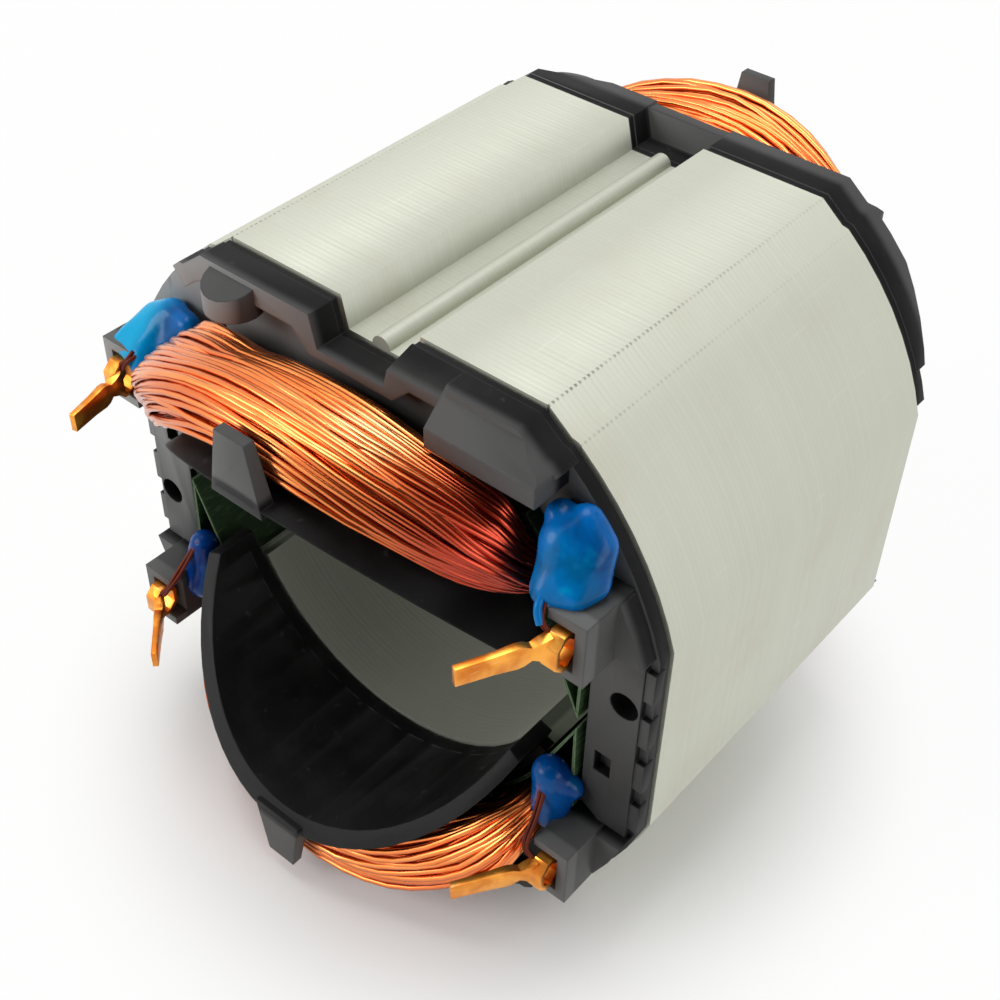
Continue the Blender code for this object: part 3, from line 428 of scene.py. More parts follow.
def makeDarkScreen():
    bm = bmesh.new()
    bmesh.ops.create_circle(bm, cap_ends=True, segments=48, radius=studio["screenSize"])
    away = -Vector(camera["forward"])
    turn = away.to_track_quat("Z", "Y").to_matrix().to_4x4()
    place = Matrix.Translation(away * studio["screenDistance"]) @ turn
    bmesh.ops.transform(bm, matrix=place, verts=bm.verts)
    material, tree, shader = newMaterial("darkCloth", {"Roughness": 0.9, "Specular IOR Level": 0.1})
    weave = addNode(tree, "ShaderNodeTexNoise",
                    inputs={"Vector": objectPlace(tree), "Scale": 60.0, "Detail": 3.0})
    tone = blendColour(tree, weave.outputs[0], studio["screenDark"], studio["screenLight"])
    tree.links.new(tone, shader.inputs["Base Color"])
    screen = toObject("darkScreen", bm, material)
    screen.visible_camera = False


makeCamera()
makeLamps()
makeWorld()
makeFloor()
makeDarkScreen()
scene.view_settings.view_transform = "Standard"
print("stage: camera, lamps and floor")


# Laminated core: a fine groove at each joint, and each sheet set a hair off its neighbours

core = {
    "sheets": 72,
    "pitch": 0.5,
    "grooveHalfWidth": 0.022,
    "grooveDepth": 0.0024,
    "sheetShift": 0.0015,
    "cutNear": 0.0005,
    "seed": 11,
    "light": (0.635, 0.655, 0.55, 1),
    "dull": (0.585, 0.595, 0.505, 1),
    "line": (0.40, 0.41, 0.34, 1),
    "stain": (0.605, 0.585, 0.485, 1),
    "scratch": (0.78, 0.79, 0.71, 1),
    "edge": (0.80, 0.81, 0.74, 1),
    # painted shade for the creases at the edges of the flats
    "creaseShade": (0.20, 0.20, 0.17, 1),
    # painted shade for the bore and grooves
    "paintedShade": (0.0, 0.0, 0.0, 1),
    "metal": 0.5,
    "lineWidth": 0.13,
    "dotWidth": 0.42,
    "grain": (2500.0, 90.0),
    "scratchStretch": (2600.0, 120.0, 2600.0),
    "sheetShare": 0.16,
    "broadShare": 0.45,
    "stainShare": 0.55,
    "lineShare": 0.10,
    "scratchShare": 0.2,
    "edgeShare": 0.4,
    # painted shade along the creases, dotted: the distance from the middle and the width, and where
    # it shows, in mm
    "flatCrease": (15.80, 0.16),
    "cornerLine": (18.75, 0.11),
    "cornerLineShare": 0.45,
    "creaseShadeAlong": (-17, 14),
    "creaseShadeHeights": (21, 22),
    # painted shade that darkens the bore and grooves, in mm
    "boreRadii": (18.6, 19.0),
    "boreShade": 0.43,
    "grooveSides": (3.70, 4.05),
    "grooveHeights": (24.2, 26.6),
    "grooveShade": 0.14,
}


def band(tree, value, mark):
    centre, width = mark
    off = size(tree, maths(tree, "SUBTRACT", value, centre * mm))
    return zone(tree, off, (width * 0.4, width), 1.0, 0.0)


def paintedCreaseShade(tree, place, sheet):
    # painted shade: dotted dark lines along the creases at the edges of the top and bottom flats,
    # and fainter ones outside them
    axes = splitAxes(tree, place)
    aside = size(tree, axes["X"])
    strong = band(tree, aside, core["flatCrease"])
    faint = times(tree, band(tree, aside, core["cornerLine"]), core["cornerLineShare"])
    dots = useGroup(tree, sheetLines, {"Vector": place, "Pitch": core["pitch"] * mm,
                                       "Line Width": core["dotWidth"]})["Line"]
    dashes = times(tree, dots, remap(tree, sheet, 0.0, 0.8, 0.45, 1.0))
    fade = zone(tree, axes["Y"], core["creaseShadeAlong"], 1.0, 0.25)
    outside = zone(tree, size(tree, axes["Z"]), core["creaseShadeHeights"], 0.0, 1.0)
    drawn = times(tree, maths(tree, "MAXIMUM", strong, faint), dashes)
    return times(tree, drawn, times(tree, fade, outside))


# painted shade in the bore and in the grooves
def hollowShade(tree, place):
    axes = splitAxes(tree, place)
    bore = zone(tree, fromAxis(tree, axes), core["boreRadii"], core["boreShade"], 0.0)
    beside = zone(tree, size(tree, axes["X"]), core["grooveSides"], 1.0, 0.0)
    sunk = zone(tree, size(tree, axes["Z"]), core["grooveHeights"], core["grooveShade"], 0.0)
    return maths(tree, "MAXIMUM", bore, times(tree, beside, sunk))


def makeSteel():
    material, tree, shader = newMaterial("sheetSteel", {"Metallic": core["metal"]})
    place = objectPlace(tree)
    lines = useGroup(tree, sheetLines, {"Vector": place, "Pitch": core["pitch"] * mm,
                                        "Line Width": core["lineWidth"]})
    tones = useGroup(tree, grain, {"Vector": place, "Fine Scale": core["grain"][0],
                                   "Broad Scale": core["grain"][1]})
    marks = useGroup(tree, scratches, {"Vector": place, "Stretch": core["scratchStretch"],
                                       "Cut": 0.66})
    edges = useGroup(tree, edgeWear, {"Radius": 0.15 * mm, "Gain": 3.0, "Breakup": tones["Fine"]})
    share = maths(tree, "ADD", times(tree, lines["Sheet"], core["sheetShare"]),
                  times(tree, tones["Broad"], core["broadShare"]))
    colour = blendColour(tree, share, core["light"], core["dull"])
    for mask, name in (
            (remap(tree, tones["Broad"], 0.5, 0.75, 0.0, core["stainShare"]), "stain"),
            (times(tree, lines["Line"], core["lineShare"]), "line"),
            (times(tree, marks["Scratch"], core["scratchShare"]), "scratch"),
            (times(tree, edges["Edge"], core["edgeShare"]), "edge"),
            (paintedCreaseShade(tree, place, lines["Sheet"]), "creaseShade"),
            (hollowShade(tree, place), "paintedShade")):
        colour = blendColour(tree, mask, colour, core[name])
    least = maths(tree, "ADD", 0.47, times(tree, lines["Sheet"], 0.05))
    setSurface(tree, shader, colour, least, tones["Broad"], 0.10)
    height = maths(tree, "SUBTRACT", times(tree, tones["Fine"], 0.35), marks["Scratch"])
    setBump(tree, shader, height, 0.2, 0.015)
    return material


def makeCore():
    bm = mergedCopy("lamination_stack")
    dissolveFlat(bm, 0.5)
    count = core["sheets"]
    half = core["grooveHalfWidth"]
    for k in range(1, count):
        for offset in (-half, 0.0, half):
            place = (0, (frontFace + core["pitch"] * k + offset) * mm, 0)
            cutAcross(bm, place, (0, 1, 0), core["cutNear"])
    bm.normal_update()
    chance = random.Random(core["seed"])
    shifts = [Vector((chance.uniform(-1, 1), 0, chance.uniform(-1, 1))) * core["sheetShift"] * mm
              for k in range(count)]
    moves = []
    for vert in bm.verts:
        along = (vert.co.y / mm - frontFace) / core["pitch"]
        if 0.5 < along < count - 0.5 and abs(along - round(along)) < 0.01:
            inwards = Vector((vert.normal.x, 0, vert.normal.z)).normalized()
            moves.append((vert, -inwards * core["grooveDepth"] * mm))
        else:
            sheet = min(max(int(along), 0), count - 1)
            if 0 < sheet < count - 1:
                moves.append((vert, shifts[sheet]))
    for vert, move in moves:
        vert.co += move
    item = toObject("laminatedCore", bm, makeSteel())
    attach(item, "root")
    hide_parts("lamination_stack")
    print("stage: laminated core,", len(item.data.polygons), "faces")


makeCore()


# Field coils: wires that follow the coil's shape in two layers, over a filling painted dark as the
# shade between them

coil = {
    "neck": 42.6,
    "spreadSlim": 12.5,
    "spreadFull": 20.5,
    "archSlim": 1.3,
    "archFull": 0.9,
    "slotLow": 20.9,
    "slotHigh": 24.0,
    "endLow": 19.5,
    "endHigh": 25.5,
    "endStart": 2.9,
    "innerReach": 0.3,
    "outerReach": 10.6,
    "innerDrop": 3.6,
    "rearRise": 0.7,
    "shoulderSlim": 0.8,
    "shoulderFull": 2.0,
    "flareStart": 10.0,
    "flareStop": 40.0,
    "sectionWidth": 10.3,
    "slotHeight": 3.4,
    "endHeight": 6.0,
    "widthPower": 0.6,
    "widthEase": 0.1,
    "heightPower": 0.5,
    "edgeSteps": 400,
}

wires = {
    "diameter": 0.58,
    "endSteps": 30,
    # each layer's wires, their depth and how much it wavers
    "layers": ((50, 0.20, 0.22), (44, 0.78, 0.20)),
    "seeds": {"upper": 3, "lower": 8},
    "bundle": 3,
    "bundleWander": 0.018,
    "ownWander": 0.0085,
    "wanderCircle": 1.7,
    "wanderScale": 1.7,
    "depthScale": 1.4,
    "leastDepth": 0.05,
    "slotStagger": 0.55,
    "slotFade": 2.2,
    "bundleTone": 0.55,
    "ownTone": 0.45,
    "fillSmoothAngle": 80,
    "fillInset": 0.95,
    "bright": (1.0, 0.36, 0.10, 1),
    "plain": (0.90, 0.22, 0.04, 1),
    "deep": (0.72, 0.105, 0.022, 1),
    # painted shade for faces turned downwards
    "underShade": (0.30, 0.022, 0.006, 1),
    # painted shade on the right and painted sheen on the left of the upper coil's front end
    "rightShade": (0.44, 0.036, 0.016, 1),
    "pale": (1.0, 0.46, 0.26, 1),
    # painted highlight: a paler patch round one point of the upper coil's front end
    "glint": (1.0, 0.56, 0.26, 1),
    "glintCentre": (6.2, -25.0, 24.3),
    "glintRadii": (1.0, 4.5),
    # where the painted shade and sheen fall on the upper coil's front end, in mm
    "frontAlong": (-20, -16),
    "frontHeights": (2, 8),
    "rightShadeAcross": (5, 16),
    "paleAcross": (-20, -9),
    # dark copper painted as the shade between the wires
    "gapDark": (0.07, 0.008, 0.003, 1),
    "gapLight": (0.17, 0.024, 0.008, 1),
}


def smoothStep(value):
    t = min(max(value, 0.0), 1.0)
    return t * t * (3 - 2 * t)


def coilEdge(angle, blend):
    cosine = math.cos(angle)
    sine = math.sin(angle)
    across = math.copysign(abs(cosine) ** (coil["widthPower"] - coil["widthEase"] * blend), cosine)
    height = math.copysign(abs(sine) ** coil["heightPower"], sine)
    return 0.5 - 0.5 * across, 0.5 + 0.5 * height


def evenAngles(count):
    # angles that share out the section's edge in even steps
    fine = 1440
    places = [coilEdge(2 * math.pi * i / fine, 1.0) for i in range(fine + 1)]
    travelled = [0.0]
    for before, after in zip(places, places[1:]):
        step = math.hypot(coil["sectionWidth"] * (after[0] - before[0]),
                          coil["endHeight"] * (after[1] - before[1]))
        travelled.append(travelled[-1] + step)
    table = []
    for k in range(count):
        wanted = travelled[-1] * k / count
        index = next(i for i, value in enumerate(travelled) if value >= wanted)
        table.append(2 * math.pi * index / fine)
    return table


edgeTable = evenAngles(coil["edgeSteps"])


def edgeAngle(share):
    place = (share % 1.0) * len(edgeTable)
    low = int(place)
    start = edgeTable[low]
    stop = edgeTable[low + 1] if low + 1 < len(edgeTable) else 2 * math.pi
    return start + (stop - start) * (place - low)


def coilPoint(turn, end, share, depth):
    slim = turn < 90
    arch = math.sin(math.radians(turn))
    fromSlot = min(turn, 180 - turn)
    blend = smoothStep((fromSlot - coil["flareStart"]) / (coil["flareStop"] - coil["flareStart"]))
    shoulder = coil["shoulderSlim" if slim else "shoulderFull"]
    shoulder *= math.sin(math.radians(min(3 * fromSlot, 180)))
    low = coil["slotLow"] + (coil["endLow"] - coil["slotLow"]) * blend
    rise = arch ** coil["archSlim" if slim else "archFull"]
    across, height = coilEdge(edgeAngle(share), blend)
    section = coil["slotHeight"] + (coil["endHeight"] - coil["slotHeight"]) * blend
    across = 0.5 + (across - 0.5) * (1 - 2 * depth / coil["sectionWidth"])
    height = 0.5 + (height - 0.5) * (1 - 2 * depth / section)
    spread = coil["neck"] + coil["spreadSlim" if slim else "spreadFull"] * across
    reach = coil["innerReach"] + (coil["outerReach"] - coil["innerReach"]) * across
    high = coil["slotHigh"] + (coil["endHigh"] - coil["slotHigh"]) * blend
    high += shoulder * (1 - across) - coil["innerDrop"] * (1 - across) ** 1.5 * arch ** 2
    if end > 0:
        high += coil["rearRise"] * arch * across
    radius = low + (high - low) * height
    angle = math.radians(spread * math.cos(math.radians(turn)))
    out = -frontFace + coil["endStart"] + reach * rise
    return Vector((radius * math.sin(angle), end * out, radius * math.cos(angle)))


def makeCopper():
    material, tree, shader = newMaterial("enamelledCopper", {
        "Metallic": 1.0, "Coat Weight": 0.3, "Coat Roughness": 0.1, "Coat IOR": 1.5})
    place = objectPlace(tree)
    own = addNode(tree, "ShaderNodeAttribute", {"attribute_name": "wireTone"}).outputs["Fac"]
    tones = useGroup(tree, grain, {"Vector": place, "Fine Scale": 1500.0, "Broad Scale": 260.0})
    colour = blendColour(tree, own, wires["deep"], wires["bright"])
    plain = remap(tree, tones["Broad"], 0.35, 0.7, 0.0, 0.7)
    # painted sheen on the left of the upper coil's front end, and painted shade on its right
    axes = splitAxes(tree, place)
    front = times(tree, zone(tree, axes["Y"], wires["frontAlong"], 1.0, 0.0),
                  zone(tree, axes["Z"], wires["frontHeights"], 0.0, 1.0))
    rightShade = times(tree, front, zone(tree, axes["X"], wires["rightShadeAcross"], 0.0, 0.95))
    pale = times(tree, front, zone(tree, axes["X"], wires["paleAcross"], 0.7, 0.0))
    # painted highlight round one point
    away = fromPoint(tree, place, [value * mm for value in wires["glintCentre"]])
    glint = zone(tree, away, wires["glintRadii"], 0.60, 0.0)
    # painted shade on faces that turn downwards
    underShade = remap(tree, facing(tree)["Z"], -0.7, 0.3, 0.6, 0.0)
    for mask, name in ((plain, "plain"), (rightShade, "rightShade"), (pale, "pale"),
                       (glint, "glint"), (underShade, "underShade")):
        colour = blendColour(tree, mask, colour, wires[name])
    setSurface(tree, shader, colour, 0.20, tones["Broad"], 0.18)
    setBump(tree, shader, tones["Both"], 0.2, 0.03)
    return material


# dark copper: painted shade on the filling between the wires; the leads use it too
def makeGapCopper():
    material, tree, shader = newMaterial("shadedCopper", {"Metallic": 0.6})
    tones = useGroup(tree, grain, {"Vector": objectPlace(tree), "Fine Scale": 1800.0,
                                   "Broad Scale": 400.0})
    colour = blendColour(tree, tones["Broad"], wires["gapDark"], wires["gapLight"])
    setSurface(tree, shader, colour, 0.5, tones["Fine"], 0.2)
    setBump(tree, shader, tones["Broad"], 0.5, 0.1)
    return material


copper = makeCopper()
gapCopper = makeGapCopper()


def coilStations():
    turns = [180.0 * i / wires["endSteps"] for i in range(wires["endSteps"] + 1)]
    return [(turn, -1) for turn in turns] + [(turn, 1) for turn in reversed(turns)]


def wirePoints(stations, share, depth, wobble, stagger, phase, strength, own, lift):
    circle = wires["wanderCircle"]
    points = []
    for i, (turn, end) in enumerate(stations):
        around = 2 * math.pi * i / len(stations)
        where = Vector((circle * math.cos(around), circle * math.sin(around), phase))
        swing = noise.noise(where) * wires["bundleWander"] * strength * 2
        where.z = own
        swing += noise.noise(where * wires["wanderScale"]) * wires["ownWander"] * 2
        where.z = lift
        sunk = depth + noise.noise(where * wires["depthScale"]) * wobble * 2
        sunk = max(sunk, wires["leastDepth"])
        sunk += stagger * (1 - smoothStep(math.sin(math.radians(turn)) * wires["slotFade"]))
        points.append(coilPoint(turn, end, share + swing, sunk))
    return points


def makeWinding(name, level, seed):
    chance = random.Random(seed)
    stations = coilStations()
    curve = bpy.data.curves.new(name, "CURVE")
    curve.dimensions = "3D"
    curve.bevel_depth = wires["diameter"] / 2 * mm
    curve.bevel_resolution = 2
    tones = []
    for count, depth, wobble in wires["layers"]:
        bundles = {}
        for k in range(count):
            key = k // wires["bundle"]
            if key not in bundles:
                bundles[key] = (chance.uniform(0, 40), chance.uniform(0.5, 1.4), chance.random())
            phase, strength, bundleTone = bundles[key]
            own = chance.uniform(0, 40)
            lift = chance.uniform(0, 40)
            spline = curve.splines.new("POLY")
            spline.use_cyclic_u = True
            spline.points.add(len(stations) - 1)
            stagger = wires["slotStagger"] if k % 2 else 0.0
            points = wirePoints(stations, k / count, depth, wobble, stagger,
                                phase, strength, own, lift)
            for spot, point in zip(spline.points, points):
                spot.co = (point.x * level * mm, point.y * mm, point.z * level * mm, 1)
            tone = wires["bundleTone"] * bundleTone + wires["ownTone"] * chance.random()
            tones.append(min(max(tone, 0.0), 1.0))
    item = curveToObject(name, curve, copper)
    mesh = item.data
    perWire = len(mesh.vertices) // len(tones)
    shades = [tones[min(i // perWire, len(tones) - 1)] for i in range(len(mesh.vertices))]
    mesh.attributes.new("wireTone", "FLOAT", "POINT").data.foreach_set("value", shades)
    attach(item, "root")
    return item


def makeFilling(name, node):
    bm = mergedCopy(node)
    bmesh.ops.recalc_face_normals(bm, faces=bm.faces)
    bm.normal_update()
    inset = wires["fillInset"] * mm
    for vert, move in [(vert, vert.normal * -inset) for vert in bm.verts]:
        vert.co += move
    item = toObject(name, bm, gapCopper, wires["fillSmoothAngle"])
    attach(item, "root")


for level, word in ((1, "upper"), (-1, "lower")):
    winding = makeWinding(word + "Winding", level, wires["seeds"][word])
    makeFilling(word + "WindingFilling", word + "_field_coil")
    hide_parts(word + "_field_coil")
    print("stage:", word, "winding,", len(winding.data.polygons), "faces")


# Moulded end frames

moulding = {
    "plain": (0.005, 0.005, 0.0052, 1),
    # edge wear and scratches, and on the edges also a painted highlight
    "wearAndEdgeSheen": (0.075, 0.075, 0.077, 1),
    "dusty": (0.010, 0.010, 0.010, 1),
    # painted light: the grey of faces turned towards the light
    "facing": (0.29, 0.292, 0.287, 1),
    "edge": 0.10,
    "roundAngle": 42,
    "smoothAngle": 32,
    "edgeWearAndSheenShare": 0.7,
    "scratchShare": 0.3,
    # where painted light makes the faces grey, in mm, and by how much
    "shieldRadii": (19.4, 20.2),
    "shieldShare": 0.25,
    "acrossLimits": (-22, 6),
    "acrossShare": 0.32,
    "heightLimits": (-8, 14),
    "heightShare": 0.35,
    "outerDepths": (20.4, 21.5),
    "outerShare": 0.24,
    "postDepths": (-24, -23),
    "postSides": (19.8, 20.4),
    "postShare": 0.42,
}


def paintedLightShare(tree, place):
    # painted light: faces turned to the front are greyer, more at the left and top, on the rear
    # flange and on the posts
    outward = remap(tree, size(tree, facing(tree)["Y"]), 0.25, 0.9, 0.0, 1.0)
    axes = splitAxes(tree, place)
    outside = zone(tree, fromAxis(tree, axes), moulding["shieldRadii"], 0.0, 1.0)
    ring = times(tree, outward, maths(tree, "MAXIMUM", outside, moulding["shieldShare"]))
    across = zone(tree, axes["X"], moulding["acrossLimits"], 1.0, moulding["acrossShare"])
    upwards = zone(tree, axes["Z"], moulding["heightLimits"], moulding["heightShare"], 1.0)
    ring = times(tree, ring, times(tree, across, upwards))
    outer = zone(tree, size(tree, axes["Y"]), moulding["outerDepths"], 0.0, moulding["outerShare"])
    outer = times(tree, outside, outer)
    posts = times(tree, zone(tree, axes["Y"], moulding["postDepths"], moulding["postShare"], 0.0),
                  zone(tree, size(tree, axes["X"]), moulding["postSides"], 0.0, 1.0))
    return maths(tree, "MAXIMUM", ring, maths(tree, "MAXIMUM", outer, posts))


def makeMoulding():
    material, tree, shader = newMaterial("blackMoulding", {"Specular IOR Level": 0.10})
    place = objectPlace(tree)
    tones = useGroup(tree, grain, {"Vector": place, "Fine Scale": 5200.0, "Broad Scale": 210.0})
    breakup = remap(tree, tones["Broad"], 0.3, 0.6, 0.5, 1.0)
    edges = useGroup(tree, edgeWear, {"Radius": 0.22 * mm, "Gain": 4.0, "Breakup": breakup})
    marks = useGroup(tree, scratches, {"Vector": place, "Stretch": (900.0, 900.0, 160.0),
                                       "Cut": 0.68})
    dusty = remap(tree, tones["Broad"], 0.42, 0.68, 0.0, 1.0)
    colour = blendColour(tree, dusty, moulding["plain"], moulding["dusty"])
    for mask, name in (
            (paintedLightShare(tree, place), "facing"),
            # lighter edges: partly wear, partly painted highlight
            (times(tree, edges["Edge"], moulding["edgeWearAndSheenShare"]), "wearAndEdgeSheen"),
            (times(tree, marks["Scratch"], moulding["scratchShare"]), "wearAndEdgeSheen")):
        colour = blendColour(tree, mask, colour, moulding[name])
    setSurface(tree, shader, colour, 0.36, tones["Broad"], 0.22)
    setBump(tree, shader, tones["Fine"], 0.35, 0.03, edges["Normal"])
    return material


blackMoulding = makeMoulding()


def makeFrame(name, node):
    bm = mergedCopy(node)
    dissolveFlat(bm, 0.5)
    item = toObject(name, bm, blackMoulding, moulding["smoothAngle"])
    rounding = item.modifiers.new("rounding", "BEVEL")
    rounding.width = moulding["edge"] * mm
    rounding.segments = 2
    rounding.limit_method = "ANGLE"
    rounding.angle_limit = math.radians(moulding["roundAngle"])
    rounding.use_clamp_overlap = True
    bakeModifiers(item)
    item.data.set_sharp_from_angle(angle=math.radians(moulding["smoothAngle"]))
    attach(item, "root")
    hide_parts(node)
    print("stage:", name, len(item.data.polygons), "faces")


makeFrame("frontFrame", "front_end_frame")
makeFrame("rearFrame", "rear_end_frame")


# Slot liners

paper = {
    "dark": (0.007, 0.020, 0.008, 1),
    "green": (0.032, 0.070, 0.024, 1),
    "fibre": (0.12, 0.19, 0.08, 1),
    "fibreShare": 0.35,
    "rim": (0.24, 0.34, 0.19, 1),
    "rimShare": 0.6,
}


def makePaper():
    material, tree, shader = newMaterial("slotPaper", {"Specular IOR Level": 0.25})
    place = objectPlace(tree)
    tones = useGroup(tree, grain, {"Vector": place, "Fine Scale": 4000.0, "Broad Scale": 500.0})
    fibres = useGroup(tree, scratches, {"Vector": place, "Stretch": (3000.0, 500.0, 3000.0),
                                        "Cut": 0.55})
    edges = useGroup(tree, edgeWear, {"Radius": 0.25 * mm, "Gain": 7.0, "Breakup": 1.0})
    colour = blendColour(tree, tones["Broad"], paper["dark"], paper["green"])
    fibre = times(tree, fibres["Scratch"], paper["fibreShare"])
    colour = blendColour(tree, fibre, colour, paper["fibre"])
    rim = times(tree, edges["Edge"], paper["rimShare"])
    colour = blendColour(tree, rim, colour, paper["rim"])
    setSurface(tree, shader, colour, 0.62, tones["Fine"], 0.25)
    setBump(tree, shader, maths(tree, "ADD", tones["Fine"], fibres["Scratch"]), 0.4, 0.04)
    return material


slotPaper = makePaper()
for corner in corners:
    liner = nodes["slot_liner_" + corner]
    liner.data.materials.clear()
    liner.data.materials.append(slotPaper)
print("stage: slot liners")


# Terminals and the wires that run to them

terminals = {
    "edge": 0.09,
    "bright": (1.0, 0.44, 0.07, 1),
    "dull": (0.66, 0.19, 0.025, 1),
    "scratch": (1.0, 0.66, 0.28, 1),
    "scratchShare": 0.3,
    "sharpAngle": 25,
    "smoothAngle": 30,
    "joinNear": 0.01,
    "cutNear": 0.001,
    "root": (22.82, 7.80, 13.3),
    "tagStart": 0.95,
    "lean": {"upper_right": 26.0, "upper_left": 14.0, "lower_right": 32.0, "lower_left": 45.0},
    "rise": {"upper_right": 0.5, "upper_left": 0.0, "lower_right": 0.5, "lower_left": 0.0},
    "lengthShare": {"upper_right": 1.0, "upper_left": 0.84, "lower_right": 1.0, "lower_left": 1.0},
    # half height and half thickness, in mm, at distances from the root
    "profile": ((1.0, 0.78, 0.42), (1.45, 0.62, 0.33), (2.0, 0.92, 0.34), (2.6, 1.02, 0.34),
                (3.2, 0.98, 0.31), (4.2, 0.90, 0.29), (5.6, 0.87, 0.28), (7.3, 0.84, 0.26)),
}


def makeBrass():
    material, tree, shader = newMaterial("terminalBrass", {"Metallic": 1.0})
    place = objectPlace(tree)
    tones = useGroup(tree, grain, {"Vector": place, "Fine Scale": 3000.0, "Broad Scale": 380.0})
    marks = useGroup(tree, scratches, {"Vector": place, "Stretch": (600.0, 600.0, 4500.0),
                                       "Cut": 0.6})
    dulled = remap(tree, tones["Broad"], 0.35, 0.7, 0.0, 1.0)
    colour = blendColour(tree, dulled, terminals["bright"], terminals["dull"])
    scratched = times(tree, marks["Scratch"], terminals["scratchShare"])
    colour = blendColour(tree, scratched, colour, terminals["scratch"])
    setSurface(tree, shader, colour, 0.22, tones["Broad"], 0.25)
    setBump(tree, shader, maths(tree, "SUBTRACT", tones["Fine"], marks["Scratch"]), 0.25, 0.03)
    return material


brass = makeBrass()


def profileAt(distance):
    table = terminals["profile"]
    for before, after in zip(table, table[1:]):
        if distance <= after[0]:
            share = min(max((distance - before[0]) / (after[0] - before[0]), 0.0), 1.0)
            return [before[i] + (after[i] - before[i]) * share for i in (1, 2)]
    return table[-1][1:]


def pinchTag(bm, corner):
    side, level = corners[corner]
    rootX, rootDepth, rootZ = terminals["root"]
    lean = math.radians(terminals["lean"][corner])
    along = Vector((-side * math.sin(lean), -math.cos(lean), 0))
    across = Vector((-along.y, along.x, 0))
    root = atFront(side * rootX, rootDepth, level * rootZ + terminals["rise"][corner])
    for row in terminals["profile"][:-1]:
        cutAcross(bm, root + along * row[0] * mm, along, terminals["cutNear"])
    start = terminals["tagStart"]
    for vert in bm.verts:
        offset = vert.co - root
        distance = offset.dot(along) / mm
        if distance < start:
            continue
        height, thickness = profileAt(distance)
        aside = offset.dot(across)
        kept = start + (distance - start) * terminals["lengthShare"][corner]
        vert.co = root + along * kept * mm
        vert.co += across * math.copysign(thickness, aside) * mm
        vert.co.z = root.z + math.copysign(height, offset.z) * mm
    bmesh.ops.remove_doubles(bm, verts=bm.verts, dist=terminals["joinNear"] * mm)


def makeTerminal(corner):
    bm = mergedCopy("terminal_" + corner)
    dissolveFlat(bm, 2)
    pinchTag(bm, corner)
    sharpAngle = math.radians(terminals["sharpAngle"])
    sharp = [edge for edge in bm.edges
             if edge.is_manifold and edge.calc_face_angle(0) > sharpAngle]
    bmesh.ops.bevel(bm, geom=sharp, offset=terminals["edge"] * mm, segments=2, profile=0.5,
                    affect="EDGES", material=-1, clamp_overlap=True)
    item = toObject(cornerName("terminal", corner), bm, brass, terminals["smoothAngle"])
    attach(item, "root")
    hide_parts("terminal_" + corner)


leads = {
    "diameter": 0.34,
    "spacing": 0.17,
    "sleeveDiameter": 0.66,
    "upper": ((21.4, 6.9, 16.3), (21.6, 7.6, 15.8), (22.2, 7.8, 15.2), (23.0, 7.3, 14.1)),
    "lower": ((20.6, 4.2, 6.5), (21.3, 6.1, 9.3), (21.4, 7.8, 10.7), (22.2, 7.9, 11.7),
              (23.0, 7.3, 12.6)),
    "sleeve": ((20.9, 5.8, 17.2), (21.2, 7.2, 16.7), (21.5, 7.7, 15.9), (21.9, 7.8, 15.3)),
}


def makeTube(name, routes, diameter, material):
    curve = bpy.data.curves.new(name, "CURVE")
    curve.dimensions = "3D"
    curve.bevel_depth = diameter / 2 * mm
    curve.bevel_resolution = 3
    curve.use_fill_caps = True
    for route in routes:
        spline = curve.splines.new("NURBS")
        spline.points.add(len(route) - 1)
        spline.order_u = 3
        spline.resolution_u = 8
        spline.use_endpoint_u = True
        for point, (x, depth, z) in zip(spline.points, route):
            point.co = (*atFront(x, depth, z), 1)
    item = curveToObject(name, curve, material)
    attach(item, "root")
    return item


def makeLead(corner):
    side, level = corners[corner]
    half = leads["spacing"]
    route = leads["upper" if level > 0 else "lower"]
    # two strands that swap height at each step of the route
    routes = [[(side * (x + turn * half), depth, level * (z + turn * half * (-1) ** k))
               for k, (x, depth, z) in enumerate(route)] for turn in (-1, 1)]
    item = makeTube(cornerName("lead", corner), routes, leads["diameter"], gapCopper)
    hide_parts("lead_wire_" + corner)


for corner in corners:
    makeTerminal(corner)
    makeLead(corner)
print("stage: terminals and leads")


# Cured resin, draped over the wire joints

